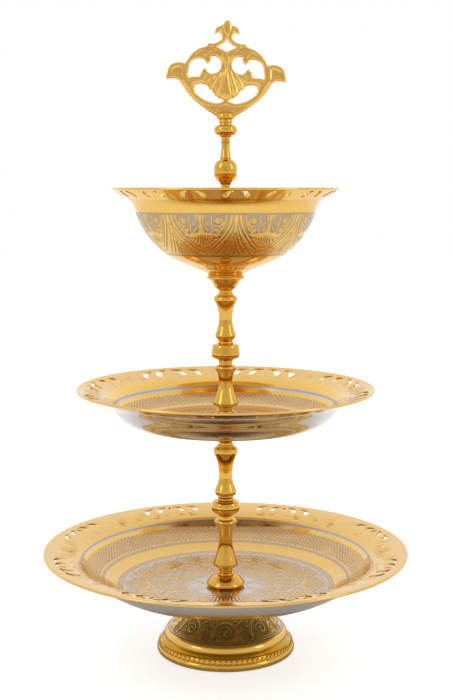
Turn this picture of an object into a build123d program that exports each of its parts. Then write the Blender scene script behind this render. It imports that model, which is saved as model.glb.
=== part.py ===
# Tiered cake stand: pierced and engraved metal dishes threaded on a turned column,
# clamped by one tie rod between a nut in the hollow foot and a screw-on finial.
# Millimetres. Origin at the centre of the foot's resting face, +Z up the column.
import math
import os
from build123d import *

# ---------------------------------------------------------------- driving sizes
ROD_R = 3.0              # M6 tie rod, threads drawn plain
BORE_R = 3.2             # clearance bore of the fixed turned pieces
SPIN_R = 3.08            # running bore of the two tiers that turn on the rod
FINIAL_BORE_R = 3.05     # tapped bore of the finial, drawn plain
ROD_Z0, ROD_Z1 = 41.0, 328.0
FINIAL_BORE_TOP = 330.0

FOOT_TOP = 52.4          # top of the foot, underside of the bottom dish
FOOT_WALL = 1.6
DISH_T = 2.0             # thickness of both dishes
BOWL_T = 1.8
MID_Z = 188.7            # underside of the middle dish
BOWL_Z = 313.0           # underside of the bowl's seat
WASHER_T = 1.5
HANDLE_T = 4.6           # thickness of the openwork handle
HANDLE_YAW = 6.0         # degrees about +Z, where the screwed finial comes to rest
HANDLE_LEAN = 1.15       # degrees, lean of the casting on its boss
HANDLE_SEAT = 436.0

# ---------------------------------------------------------------- helpers


def revolved(runs):
    """Solid of revolution from closed runs of (r, z) points.
    A run of two points is a line, a longer run is a smooth curve."""
    edges = []
    for run in runs:
        pts = [Vector(r, 0, z) for r, z in run]
        if len(pts) == 2:
            edges.append(Edge.make_line(pts[0], pts[1]))
        else:
            edges.append(Edge.make_spline(pts))
    face = Face(Wire(edges))
    return revolve(face, Axis.Z, 360)


def turned(outer, bore):
    """Turned piece: outer runs from the bottom up, closed by flat ends and a bore."""
    first, last = outer[0][0], outer[-1][-1]
    runs = [[(bore, first[1]), first]] + outer + [[last, (bore, last[1])],
                                                  [(bore, last[1]), (bore, first[1])]]
    return revolved(runs)


def offset(pts, t):
    """Points t below a curve that runs outwards (t > 0), measured square to it."""
    out = []
    for i, (r, z) in enumerate(pts):
        a = pts[max(i - 1, 0)]
        b = pts[min(i + 1, len(pts) - 1)]
        dr, dz = b[0] - a[0], b[1] - a[1]
        n = math.hypot(dr, dz)
        out.append((r + dz / n * t, z - dr / n * t))
    return out


STATIONS = [(0.0, 0.30), (0.2, 0.50), (0.4, 0.72), (0.6, 0.93), (0.78, 1.0), (0.9, 0.86),
            (1.0, 0.44)]         # place along a slot, share of its greatest width


def comma(p0, p1, p2, w, ref):
    """Outline of a comma-shaped slot: a thin tail at p0, a curve drawn towards p1 and
    a full head at p2. Points are (degrees from the group's middle, radius)."""
    (x0, y0), (x1, y1), (x2, y2) = [(math.radians(a) * ref, r) for a, r in (p0, p1, p2)]
    left, right = [], []
    for s, share in STATIONS:
        cx = (1 - s) ** 2 * x0 + 2 * s * (1 - s) * x1 + s * s * x2
        cy = (1 - s) ** 2 * y0 + 2 * s * (1 - s) * y1 + s * s * y2
        dx = 2 * (1 - s) * (x1 - x0) + 2 * s * (x2 - x1)
        dy = 2 * (1 - s) * (y1 - y0) + 2 * s * (y2 - y1)
        d = math.hypot(dx, dy)
        h = 0.5 * w * share
        left.append((cx - dy / d * h, cy + dx / d * h))
        right.append((cx + dy / d * h, cy - dx / d * h))
    return left + right[::-1]


# One half of each rim's pierced group: tail, bend, head as (degrees, radius), width.
BOTTOM_SLOTS = [
    ((1.3, 142.0), (5.0, 142.2), (4.3, 132.9), 4.8),
    ((6.5, 141.7), (10.7, 141.0), (9.8, 132.3), 4.7),
    ((0.0, 141.9), (0.0, 138.6), (0.0, 136.0), 2.5),
]
MIDDLE_SLOTS = [
    ((1.1, 115.6), (6.7, 116.2), (6.2, 105.4), 5.7),
    ((8.8, 115.1), (14.6, 114.0), (13.4, 105.0), 5.5),
]
BOWL_SLOTS = [((1.9, 87.9), (5.7, 87.3), (5.6, 80.2), 4.5)]


def slot_cutters(slots, groups, first, ref, z0, z1):
    """All slots of one rim as upright prisms, each half group and its mirror image."""
    cut = []
    for g in range(groups):
        base = math.radians(first + 360.0 / groups * g)
        for p0, p1, p2, w in slots:
            for side in (1, -1) if p0[0] else (1,):
                pts = []
                for x, y in comma(p0, p1, p2, w, ref):
                    ang = base + side * x / ref
                    pts.append(Vector(y * math.sin(ang), -y * math.cos(ang), z0))
                face = Face(Wire.make_polygon(pts, close=True))
                cut.append(extrude(face, amount=z1 - z0, dir=(0, 0, 1)))
    return cut


def drop_small(shape):
    """The one main solid of a cut result."""
    return max(shape.solids(), key=lambda s: s.volume)


def save(shape, name):
    export_step(shape, "parts/" + name + ".step")
    print(name, "volume %.0f mm3" % shape.volume)


os.makedirs("parts", exist_ok=True)

# ---------------------------------------------------------------- foot
# thin spun shell: top plate, waist, flared band, shoulder, undercut and skirt
foot_out = [(33.6, 52.4), (33.9, 51.2), (33.0, 49.6), (31.4, 46.6), (30.9, 43.0),
            (31.6, 39.4), (33.2, 36.0), (35.6, 32.4), (38.6, 28.8), (41.8, 25.4),
            (45.0, 22.4), (48.3, 19.8)]
shoulder = [(48.3, 19.8), (49.6, 18.3), (50.5, 16.9), (51.0, 15.4), (51.3, 14.0)]
undercut = [(51.3, 14.0), (50.4, 13.2)]
skirt = [(50.4, 13.2), (51.2, 12.3), (52.1, 11.2), (52.9, 10.1)]
foot_in = [(32.0, 50.4), (31.6, 49.4), (29.8, 46.6), (29.3, 43.0), (30.0, 38.9),
           (31.8, 35.2), (34.3, 31.5), (37.4, 27.8), (40.7, 24.3), (44.0, 21.2),
           (47.0, 18.8), (48.9, 16.9), (49.7, 15.2), (49.0, 13.9), (48.7, 12.4),
           (49.0, 11.2), (49.4, 10.4)]
foot_shell = revolved([
    [(BORE_R, 50.4), (BORE_R, 52.4)], [(BORE_R, 52.4), (33.6, 52.4)],
    foot_out, shoulder, undercut, skirt, [(52.9, 10.1), (53.4, 9.7)], [(53.4, 9.7), (53.4, 9.2)],
    [(53.4, 9.2), (49.4, 9.2)],
    [(49.4, 9.2), (49.4, 10.4)], foot_in[::-1], [(32.0, 50.4), (BORE_R, 50.4)]])
save(foot_shell, "foot_shell")

# heavy base ring: rounded edge below a milled border
ring_out = [(55.4, 0.4), (56.6, 1.2), (57.2, 2.8), (56.9, 4.9), (55.9, 6.4)]
ring_border = [(55.9, 6.4), (54.0, 9.2)]
ring = revolved([[(47.0, 0.0), (54.4, 0.0)], [(54.4, 0.0), (55.4, 0.4)], ring_out, ring_border,
                 [(54.0, 9.2), (48.4, 9.2)], [(48.4, 9.2), (47.0, 7.8)],
                 [(47.0, 7.8), (47.0, 0.0)]])
beads = []
N_BEADS = 78
for i in range(N_BEADS):
    a = 2 * math.pi * i / N_BEADS
    beads.append(Pos(54.75 * math.cos(a), 54.75 * math.sin(a), 7.65) * Sphere(1.35))
ring_beaded = ring
for k in range(0, N_BEADS, 15):
    ring_beaded = ring_beaded + beads[k:k + 15]
# the border's beads stop at the ring's flat top
ring_beaded = ring_beaded - Pos(0, 0, 9.2 + 2) * Cylinder(70, 4)
foot_base_ring = drop_small(ring_beaded)
save(foot_base_ring, "foot_base_ring")

base_washer = Pos(0, 0, 50.4 - WASHER_T / 2) * (Cylinder(9.0, WASHER_T) - Cylinder(BORE_R, WASHER_T))
save(base_washer, "base_washer")

NUT_AF, NUT_H = 10.0, 5.0
nut_top = 50.4 - WASHER_T
nut_sk = RegularPolygon(NUT_AF / 2, 6, major_radius=False) - Circle(ROD_R)
base_nut = Pos(0, 0, nut_top - NUT_H) * extrude(nut_sk, amount=NUT_H)
save(base_nut, "base_nut")

tie_rod = Pos(0, 0, (ROD_Z0 + ROD_Z1) / 2) * Cylinder(ROD_R, ROD_Z1 - ROD_Z0)
tie_rod = chamfer(tie_rod.edges().filter_by(GeomType.CIRCLE), 0.6)
save(tie_rod, "tie_rod")

# ---------------------------------------------------------------- dishes
# top surface, centre outwards: floor and wall, then the flat pierced rim


SEAT_R = 18.0            # flat floor under the upper bell
FOOT_SEAT_R = 38.0       # flat floor over the foot


def dish(wall, rim, bore, lip_r):
    """Spun dish: flat seat, curved floor and wall, then a straight or arched rim."""
    e_top = rim[-1]
    under_w = offset(wall, DISH_T)
    under_w[0] = (wall[0][0], wall[0][1] - DISH_T)
    under_r = offset(rim, DISH_T)
    fold = ((under_w[-1][0] + under_r[0][0]) / 2, (under_w[-1][1] + under_r[0][1]) / 2)
    under_w[-1] = fold
    under_r[0] = fold
    e_bot = under_r[-1]
    mid = (lip_r, (e_top[1] + e_bot[1]) / 2)
    z_seat = wall[0][1]
    return revolved([
        [(bore, z_seat - DISH_T), (bore, z_seat)], [(bore, z_seat), wall[0]],
        wall, rim, [e_top, mid, e_bot],
        under_r[::-1], under_w[::-1], [under_w[0], (bore, z_seat - DISH_T)]])


bd_wall = [(FOOT_SEAT_R, 54.4), (48.0, 54.42), (60.0, 54.55), (75.0, 54.95), (82.0, 55.6),
           (87.7, 56.6), (91.8, 57.9), (96.5, 60.1), (101.8, 63.0), (107.0, 66.2),
           (111.5, 69.3), (115.2, 72.5), (117.8, 75.6), (119.8, 78.3)]
bd_rim = [(119.8, 78.3), (122.0, 80.2), (125.0, 82.0), (129.0, 83.7), (134.0, 85.05), (139.5, 86.05),
          (144.5, 86.65), (149.2, 86.95)]     # rises from the wall and flattens outwards
bottom_dish = dish(bd_wall, bd_rim, BORE_R, 150.0)
bottom_dish = bottom_dish - slot_cutters(BOTTOM_SLOTS, 8, 22.0, 135.4, 70.0, 95.0)
bottom_dish = drop_small(bottom_dish)
save(bottom_dish, "bottom_dish")

md_wall = [(SEAT_R, 190.7), (36.0, 190.7), (52.0, 190.8), (62.0, 191.1), (69.0, 191.9),
           (74.0, 193.0), (78.5, 194.9), (83.0, 197.7), (86.8, 201.2), (89.6, 204.9),
           (92.0, 208.6), (94.6, 211.4), (98.6, 214.3)]
md_rim = [(98.6, 214.3), (120.7, 221.4)]
middle_dish = dish(md_wall, md_rim, SPIN_R, 121.5)
middle_dish = middle_dish - slot_cutters(MIDDLE_SLOTS, 8, 26.4, 109.0, 203.0, 230.0)
middle_dish = drop_small(middle_dish)
save(middle_dish, "middle_dish")

# ---------------------------------------------------------------- turned column
def bell(z):
    return [[(14.2, z), (15.2, z + 0.4)],
            [(15.2, z + 0.4), (15.85, z + 1.2), (15.8, z + 2.1), (15.3, z + 2.8)],
            [(15.3, z + 2.8), (13.5, z + 4.8), (10.6, z + 7.6), (8.2, z + 9.2), (7.1, z + 9.8)],
            [(7.1, z + 9.8), (7.5, z + 10.5), (7.0, z + 11.2), (5.8, z + 11.6)]]


def cup(z):
    """Dish support 13.8 mm tall: neck, flared cup, groove and seat."""
    return [[(5.5, z), (5.7, z + 0.8), (6.3, z + 1.4), (7.4, z + 2.1)],
            [(7.4, z + 2.1), (8.5, z + 3.1), (9.5, z + 4.5), (10.4, z + 6.4), (11.4, z + 8.0),
             (12.6, z + 9.2), (13.9, z + 10.0)],
            [(13.9, z + 10.0), (15.1, z + 10.7), (15.3, z + 11.7), (14.8, z + 12.6)],
            [(14.8, z + 12.6), (14.0, z + 13.0)], [(14.0, z + 13.0), (14.0, z + 13.4)],
            [(14.0, z + 13.4), (14.7, z + 13.8)]]


lower_bell = turned(bell(54.4), BORE_R)
save(lower_bell, "lower_bell")

lower_baluster = turned([
    [(5.6, 66.0), (5.5, 69.4)],
    [(5.5, 69.4), (7.4, 70.0), (9.2, 70.9), (10.3, 72.4), (10.2, 73.8)],
    [(10.2, 73.8), (9.0, 77.4), (7.7, 81.2), (6.7, 84.6), (6.0, 88.0), (5.65, 92.0),
     (5.7, 95.6), (6.1, 99.0), (7.0, 102.2), (7.9, 104.8), (8.6, 106.6)],
    [(8.6, 106.6), (9.2, 107.8), (9.2, 109.2), (8.4, 110.4), (7.0, 110.9)],
    [(7.0, 110.9), (5.7, 111.1)], [(5.7, 111.1), (5.6, 112.2)]], BORE_R)
save(lower_baluster, "lower_baluster")

lower_collar = turned([
    [(6.0, 112.2), (5.8, 113.6)],
    [(5.8, 113.6), (6.8, 114.5), (9.0, 116.0), (10.8, 117.8)],
    [(10.8, 117.8), (11.6, 119.8), (11.8, 121.6), (11.6, 123.4), (11.1, 125.0)],
    [(11.1, 125.0), (10.0, 126.2), (8.2, 126.7), (6.4, 126.8)]], BORE_R)
save(lower_collar, "lower_collar")

lower_vase = turned([
    [(6.1, 126.8), (6.7, 127.4), (6.7, 128.4), (6.1, 129.0)],
    [(6.1, 129.0), (6.2, 129.8)],
    [(6.2, 129.8), (6.9, 130.2), (6.9, 131.0)],
    [(6.9, 131.0), (7.9, 131.6), (8.6, 132.6), (9.0, 134.0), (8.9, 135.4)],
    [(8.9, 135.4), (8.1, 137.4), (7.2, 139.4), (6.4, 142.0), (5.8, 144.8), (5.55, 147.8),
     (5.75, 151.0), (6.2, 154.2), (6.7, 157.4), (7.4, 160.4), (8.4, 163.2), (9.3, 165.4)],
    [(9.3, 165.4), (10.0, 166.8), (10.1, 168.6), (9.7, 170.4)],
    [(9.7, 170.4), (8.2, 171.6), (6.8, 172.2)],
    [(6.8, 172.2), (7.0, 172.8), (6.6, 173.6), (5.8, 174.0)],
    [(5.8, 174.0), (5.8, 174.9)]], BORE_R)
save(lower_vase, "lower_vase")

lower_cup = turned(cup(174.9), BORE_R)
save(lower_cup, "lower_cup")

upper_bell = turned(bell(190.7), BORE_R)
save(upper_bell, "upper_bell")

upper_baluster = turned([
    [(5.6, 202.3), (5.5, 204.4)],
    [(5.5, 204.4), (7.2, 205.0), (9.1, 205.9), (10.3, 207.2), (10.3, 208.5)],
    [(10.3, 208.5), (9.2, 211.4), (7.9, 214.8), (6.8, 218.2), (6.0, 221.6), (5.6, 224.8),
     (5.6, 227.8), (6.0, 230.6), (6.8, 233.0), (7.7, 235.0)],
    [(7.7, 235.0), (8.7, 236.2), (8.8, 237.4), (8.2, 238.5), (6.9, 239.2)],
    [(6.9, 239.2), (5.7, 239.6)], [(5.7, 239.6), (5.6, 241.0)]], BORE_R)
save(upper_baluster, "upper_baluster")

upper_collar = turned([
    [(5.9, 241.0), (5.7, 242.8)],
    [(5.7, 242.8), (6.6, 243.8), (8.6, 244.8), (10.4, 245.6), (11.4, 246.8)],
    [(11.4, 246.8), (11.7, 248.2), (11.4, 251.4), (11.0, 254.4)],
    [(11.0, 254.4), (10.4, 255.9), (8.8, 256.6), (6.2, 256.8)]], BORE_R)
save(upper_collar, "upper_collar")

upper_vase = turned([
    [(6.0, 256.8), (6.4, 257.6), (6.3, 258.4), (5.8, 258.9)],
    [(5.8, 258.9), (6.0, 259.9)],
    [(6.0, 259.9), (6.7, 260.4), (7.3, 261.4)],
    [(7.3, 261.4), (8.2, 262.4), (8.6, 263.6), (8.3, 264.8)],
    [(8.3, 264.8), (7.6, 266.6), (6.8, 268.8), (6.1, 271.4), (5.7, 274.4), (5.55, 277.6),
     (5.7, 280.6), (6.2, 283.6), (6.9, 286.6), (7.8, 289.0), (8.7, 290.8)],
    [(8.7, 290.8), (9.5, 292.2), (9.6, 293.9), (9.0, 295.2)],
    [(9.0, 295.2), (7.6, 296.2), (6.4, 296.8)],
    [(6.4, 296.8), (6.4, 297.4), (5.7, 298.2)], [(5.7, 298.2), (5.6, 299.2)]], BORE_R)
save(upper_vase, "upper_vase")

upper_cup = turned(cup(299.2), BORE_R)
save(upper_cup, "upper_cup")

# ---------------------------------------------------------------- bowl
bowl_out = [(14.6, 313.0), (16.6, 314.6), (21.2, 316.4), (28.7, 319.6), (36.6, 322.9),
            (42.6, 325.9), (47.4, 328.9), (52.1, 332.6), (57.2, 337.6), (61.3, 342.6),
            (64.7, 347.6), (67.6, 352.6), (69.9, 357.4), (71.6, 361.6), (72.7, 365.0),
            (74.0, 368.4), (75.6, 370.9), (77.6, 373.0)]
bowl_rim = [(77.6, 373.0), (90.6, 381.0)]
in_w = offset(bowl_out, -BOWL_T)
in_r = offset(bowl_rim, -BOWL_T)
fold = ((in_w[-1][0] + in_r[0][0]) / 2, (in_w[-1][1] + in_r[0][1]) / 2)
in_w = [(13.0, 314.8)] + in_w[2:-1] + [fold]
in_r = [fold, in_r[1]]
bowl = revolved([
    [(SPIN_R, 314.8), (SPIN_R, 313.0)], [(SPIN_R, 313.0), (14.6, 313.0)],
    bowl_out, bowl_rim, [bowl_rim[-1], (91.0, 382.1), in_r[-1]],
    in_r[::-1], in_w[::-1], [(13.0, 314.8), (SPIN_R, 314.8)]])
bowl = bowl - slot_cutters(BOWL_SLOTS, 16, 5.6, 84.0, 366.0, 390.0)
bowl = drop_small(bowl)
save(bowl, "bowl")

# ---------------------------------------------------------------- finial
finial_washer = Pos(0, 0, 314.8 + WASHER_T / 2) * (Cylinder(9.5, WASHER_T) - Cylinder(BORE_R, WASHER_T))
save(finial_washer, "finial_washer")


def solid_turned(outer):
    first, last = outer[0][0], outer[-1][-1]
    return revolved([[(0, first[1]), first]] + outer + [[last, (0, last[1])],
                                                        [(0, last[1]), (0, first[1])]])


z0 = 314.8 + WASHER_T
finial_stem = solid_turned([
    [(10.6, z0), (12.0, z0 + 0.5), (12.4, z0 + 1.7), (11.6, z0 + 3.0)],
    [(11.6, z0 + 3.0), (9.4, z0 + 5.4), (7.2, z0 + 7.6), (6.0, z0 + 8.8)],
    [(6.0, z0 + 8.8), (6.5, z0 + 9.6), (6.0, z0 + 10.6), (5.2, z0 + 11.0)],
    [(5.2, z0 + 11.0), (5.2, z0 + 12.6)],
    [(5.2, z0 + 12.6), (6.8, z0 + 14.6), (7.8, z0 + 18.6), (7.4, z0 + 23.0), (6.4, z0 + 30.0),
     (5.5, z0 + 38.0), (4.9, z0 + 46.0), (4.8, z0 + 50.0)],
    [(4.8, z0 + 50.0), (5.6, z0 + 51.0), (6.6, z0 + 52.8), (6.7, z0 + 54.6), (5.9, z0 + 56.2)],
    [(5.9, z0 + 56.2), (4.6, z0 + 57.4), (3.9, z0 + 60.0), (3.6, z0 + 64.0), (3.5, z0 + 68.3)]])
finial_stem = finial_stem - Pos(0, 0, (z0 - 1 + FINIAL_BORE_TOP) / 2) * Cylinder(FINIAL_BORE_R, FINIAL_BORE_TOP - z0 + 1)
finial_stem = drop_small(finial_stem)
save(finial_stem, "finial_stem")

finial_ball = solid_turned([
    [(3.7, 384.6), (4.3, 385.4), (4.5, 386.4)],
    [(4.5, 386.4), (6.0, 388.0), (7.8, 390.0), (8.8, 392.0), (9.15, 394.4), (9.15, 397.4),
     (8.9, 399.6), (8.0, 401.8), (6.2, 403.7), (4.4, 404.7)],
    [(4.4, 404.7), (4.3, 405.2)]])
save(finial_ball, "finial_ball")

finial_neck = solid_turned([
    [(4.3, 405.2), (4.5, 406.0), (4.1, 406.9)],
    [(4.1, 406.9), (3.7, 410.0), (3.35, 414.0), (3.3, 417.6)],
    [(3.3, 417.6), (3.8, 418.2), (3.8, 418.9), (3.4, 419.4)],
    [(3.4, 419.4), (3.5, 422.2)]])
save(finial_neck, "finial_neck")

finial_collar = solid_turned([
    [(4.4, 422.2), (5.0, 422.8), (4.8, 423.6)],
    [(4.8, 423.6), (7.4, 424.2), (8.7, 425.6), (9.1, 427.4), (8.9, 429.0), (8.0, 430.6),
     (6.6, 431.5), (5.0, 431.9)],
    [(5.0, 431.9), (4.8, 433.0)],
    [(4.8, 433.0), (5.3, 433.6), (5.4, 434.8), (5.2, 436.0)]])
save(finial_collar, "finial_collar")

# openwork handle: a heart-shaped frame around a shell, leaf wings and a fleur top,
# on a small turned boss. Half outlines are (x, z), mirrored about the axis.
outline = [(0.0, 513.0), (2.7, 510.7), (4.0, 508.8), (6.1, 508.1), (8.4, 506.6), (9.5, 504.3),
           (9.5, 501.8), (7.0, 503.2), (4.9, 502.2), (4.2, 499.8), (5.1, 497.4), (7.3, 495.7),
           (10.2, 494.7), (13.1, 494.5), (15.0, 494.6), (15.6, 493.0), (20.0, 491.1),
           (24.1, 489.0), (27.3, 486.4), (29.9, 483.6), (31.9, 480.6), (33.1, 478.6),
           (36.3, 479.2), (40.5, 478.9), (44.0, 477.3), (46.2, 474.8), (47.0, 472.0),
           (47.6, 468.9), (47.2, 465.9), (44.3, 466.8), (41.0, 466.9), (38.2, 465.9),
           (35.9, 463.8), (34.0, 460.8), (32.2, 458.0), (29.5, 454.7), (25.3, 450.6),
           (19.8, 446.5), (14.7, 443.0), (9.5, 439.8), (6.0, 437.6)]
diamond = [(0.0, 498.4), (1.8, 496.0), (4.2, 494.1), (7.8, 491.8), (5.5, 490.9), (2.5, 489.6),
           (0.0, 488.2)]
upper_hole = [(30.1, 473.4), (29.6, 476.8), (27.6, 480.6), (25.0, 482.2), (20.8, 483.0),
              (18.0, 482.0), (16.4, 480.0), (14.9, 478.7), (13.3, 480.4), (12.6, 482.5),
              (12.4, 484.4), (10.4, 485.0), (7.5, 484.2), (5.3, 482.2), (4.0, 479.3),
              (4.5, 475.7), (6.4, 473.1), (9.3, 471.6), (11.9, 471.1), (14.5, 472.4),
              (16.1, 474.4), (17.5, 475.5), (19.4, 473.4), (20.7, 471.1), (21.4, 468.8),
              (24.0, 468.5), (26.7, 468.6), (29.5, 467.8), (30.4, 470.2)]
lower_hole = [(24.6, 461.9), (22.5, 463.0), (20.1, 463.4), (17.4, 462.8), (14.6, 461.6),
              (13.4, 459.4), (10.9, 458.2), (9.7, 455.6), (7.5, 453.7), (4.8, 452.2),
              (2.4, 451.4), (2.5, 450.0), (4.9, 448.8), (8.4, 448.4), (12.8, 449.2),
              (17.2, 450.9), (20.7, 452.9), (23.5, 455.6), (24.9, 458.3), (25.2, 460.5)]


def plate(half, closed=False):
    """Face in the XZ plane: a closed loop as given, or a half outline mirrored."""
    if closed:
        pts = half
    else:
        pts = half + [(-x, z) for x, z in reversed(half) if x > 1e-6]
    return Face(Wire.make_polygon([Vector(x, 0, z) for x, z in pts], close=True))


def slab(face, t):
    return Pos(0, t / 2, 0) * extrude(face, amount=t, dir=(0, -1, 0))


casting = slab(plate(outline), HANDLE_T)
holes = [slab(plate(diamond), HANDLE_T * 2)]
for loop in (upper_hole, lower_hole):
    holes.append(slab(plate(loop, True), HANDLE_T * 2))
    holes.append(slab(plate([(-x, z) for x, z in loop], True), HANDLE_T * 2))
casting = casting - holes
boss = solid_turned([
    [(6.0, HANDLE_SEAT), (7.0, HANDLE_SEAT + 0.6), (7.4, HANDLE_SEAT + 2.0),
     (7.2, HANDLE_SEAT + 3.6), (6.2, HANDLE_SEAT + 5.0), (4.6, HANDLE_SEAT + 5.8),
     (3.0, HANDLE_SEAT + 6.2)]])
lean = Pos(0, 0, 441) * Rot(0, HANDLE_LEAN, 0) * Pos(0, 0, -441)
casting = lean * casting + boss
trim = Pos(0, 0, HANDLE_SEAT - 5) * Box(60, 60, 10)
casting = casting - trim
handle_casting = Rot(0, 0, HANDLE_YAW) * drop_small(casting)
save(handle_casting, "handle_casting")
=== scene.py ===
import math

import bmesh
import bpy
import numpy as np
from mathutils import Matrix, Vector
from mathutils.geometry import delaunay_2d_cdt


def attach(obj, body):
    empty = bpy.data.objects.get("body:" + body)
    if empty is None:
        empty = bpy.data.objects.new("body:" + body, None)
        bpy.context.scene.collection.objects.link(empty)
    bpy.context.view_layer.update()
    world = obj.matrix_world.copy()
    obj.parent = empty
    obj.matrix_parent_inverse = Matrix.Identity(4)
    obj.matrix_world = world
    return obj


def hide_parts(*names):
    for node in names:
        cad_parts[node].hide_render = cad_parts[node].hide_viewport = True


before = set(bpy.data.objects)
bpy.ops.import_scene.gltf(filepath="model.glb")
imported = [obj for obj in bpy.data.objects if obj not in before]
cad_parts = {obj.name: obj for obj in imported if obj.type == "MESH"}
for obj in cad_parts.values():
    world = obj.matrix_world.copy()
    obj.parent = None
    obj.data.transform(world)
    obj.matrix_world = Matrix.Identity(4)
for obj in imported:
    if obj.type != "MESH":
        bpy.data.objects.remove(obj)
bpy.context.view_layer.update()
MM = 0.001
scene = bpy.context.scene

# ------------------------------------------------------------------ profiles


def cubic(pts, step):
    """Natural cubic curve through the points, sampled about every step mm."""
    P = np.array(pts, float)
    d = np.hypot(*np.diff(P, axis=0).T)
    t = np.concatenate([[0], np.cumsum(d)])
    n = max(2, int(round(t[-1] / step)) + 1)
    q = np.linspace(0, t[-1], n)
    if len(P) == 2:
        return P[0] + (P[1] - P[0]) * (q / t[-1])[:, None]
    m = len(P)
    A = np.zeros((m, m))
    B = np.zeros((m, 2))
    A[0, 0] = A[-1, -1] = 1
    for i in range(1, m - 1):
        A[i, i - 1] = d[i - 1]
        A[i, i] = 2 * (d[i - 1] + d[i])
        A[i, i + 1] = d[i]
        B[i] = 6 * ((P[i + 1] - P[i]) / d[i] - (P[i] - P[i - 1]) / d[i - 1])
    S = np.linalg.solve(A, B)
    k = np.clip(np.searchsorted(t, q, side="right") - 1, 0, m - 2)
    h = d[k][:, None]
    a = (t[k + 1] - q)[:, None]
    b = (q - t[k])[:, None]
    return (S[k] * a ** 3 + S[k + 1] * b ** 3) / (6 * h) + (P[k] / h - S[k] * h / 6) * a + (P[k + 1] / h - S[k + 1] * h / 6) * b


def chain(runs, step):
    """Runs of points joined end to end; a corner may sit where two runs meet."""
    out = []
    for run in runs:
        p = cubic(run, step)
        out.append(p if not out else p[1:])
    return np.vstack(out)


def eased(P, sigma):
    """The same curve with its small waves smoothed out; both ends stay."""
    d = np.hypot(*np.diff(P, axis=0).T)
    step = d.mean()
    w = int(4 * sigma / step) + 1
    k = np.exp(-0.5 * (np.arange(-w, w + 1) * step / sigma) ** 2)
    k /= k.sum()
    ext = np.vstack([2 * P[0] - P[w:0:-1], P, 2 * P[-1] - P[-2:-w - 2:-1]])
    out = np.stack([np.convolve(ext[:, i], k, mode="valid") for i in (0, 1)], 1)
    out[0], out[-1] = P[0], P[-1]
    return out


def normals2(P):
    """Unit normals of a profile, to the left of its direction of travel."""
    T = np.gradient(P, axis=0)
    T /= np.hypot(T[:, 0], T[:, 1])[:, None]
    return np.stack([-T[:, 1], T[:, 0]], 1)


def arc(P):
    return np.concatenate([[0], np.cumsum(np.hypot(*np.diff(P, axis=0).T))])


# ------------------------------------------------------------------ mesh pieces
made = []


def piece(name, V, F, body, mats, mi=None, attrs=None, corner=32.0, weld=False):
    """A mesh object from points in mm. corner is the angle from which an edge is sharp."""
    me = bpy.data.meshes.new(name)
    me.from_pydata((np.asarray(V, float) * MM).tolist(), [], [list(map(int, f)) for f in F])
    if mi is not None:
        me.polygons.foreach_set("material_index", np.asarray(mi, np.int32))
    if attrs:
        for key, val in attrs.items():
            at = me.attributes.new(key, "FLOAT", "POINT")
            at.data.foreach_set("value", np.asarray(val, np.float32))
    if weld:
        bm = bmesh.new()
        bm.from_mesh(me)
        bmesh.ops.remove_doubles(bm, verts=bm.verts, dist=2e-6)
        bm.to_mesh(me)
        bm.free()
    me.polygons.foreach_set("use_smooth", np.ones(len(me.polygons), bool))
    if corner is not None:
        me.set_sharp_from_angle(angle=math.radians(corner))
    me.update()
    ob = bpy.data.objects.new(name, me)
    scene.collection.objects.link(ob)
    for m in mats:
        me.materials.append(m)
    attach(ob, body)
    made.append(ob)
    return ob


def spun(P, N, H=None, flip=False, closed=False):
    """Surface of revolution of profile P. Angles start at the front (-Y) and run towards
    +X. H lifts each point along the profile's left normal."""
    P = np.asarray(P, float)
    K = len(P)
    n2 = normals2(P)
    a = 2 * np.pi * np.arange(N) / N
    if H is None:
        H = np.zeros((K, N))
    r = P[:, :1] + n2[:, :1] * H
    z = P[:, 1:] + n2[:, 1:] * H
    V = np.stack([r * np.sin(a), -r * np.cos(a), z], -1).reshape(-1, 3)
    k = np.arange(K if closed else K - 1)[:, None]
    j = np.arange(N)[None, :]
    k1, j1 = (k + 1) % K, (j + 1) % N
    F = np.stack([k * N + j, k1 * N + j, k1 * N + j1, k * N + j1], -1).reshape(-1, 4)
    if flip:
        F = F[:, ::-1]
    return V, F


def lathe(name, runs, body, mat, N=112, bore=None, step=0.35, corner=28.0):
    """A turned piece, closed: its outside from the bottom up, then flat ends and a bore
    (or a solid core where there is no bore)."""
    P = chain(runs, step)
    if bore is not None:
        loop = np.vstack([[bore, P[0][1]], P, [bore, P[-1][1]]])
        V, F = spun(loop, N, closed=True)
        return piece(name, V, F, body, [mat], corner=corner)
    V, F = spun(P, N)
    V = np.vstack([V, [0, 0, P[0][1]], [0, 0, P[-1][1]]])
    F = F.tolist()
    b, t, K = len(V) - 2, len(V) - 1, len(P)
    for j in range(N):
        F.append([b, j, (j + 1) % N])
        F.append([t, (K - 1) * N + (j + 1) % N, (K - 1) * N + j])
    return piece(name, V, F, body, [mat], corner=corner)


# ------------------------------------------------------------------ ornament
# Every ornament is drawn with ribbons: a polyline with a width at each point.


def spiral(cx, cy, r0, r1, start, turns, sign, w0, w1, n=44):
    s = np.linspace(0, 1, n)
    a = np.radians(start) + sign * 2 * np.pi * turns * s
    r = r0 + (r1 - r0) * s ** 0.85
    return np.stack([cx + r * np.cos(a), cy + r * np.sin(a)], 1), w0 + (w1 - w0) * s


def stroke(p0, p1, bow, w, n=14, blunt=0.12):
    """A leaf-like stroke: pointed at both ends, widest past the middle."""
    p0, p1 = np.array(p0, float), np.array(p1, float)
    s = np.linspace(0, 1, n)
    d = p1 - p0
    nrm = np.array([-d[1], d[0]]) / max(np.hypot(*d), 1e-9)
    P = p0 + d * s[:, None] + nrm * (bow * 4 * s * (1 - s))[:, None]
    return P, w * (blunt + (1 - blunt) * np.sin(np.pi * s ** 1.25))


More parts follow.
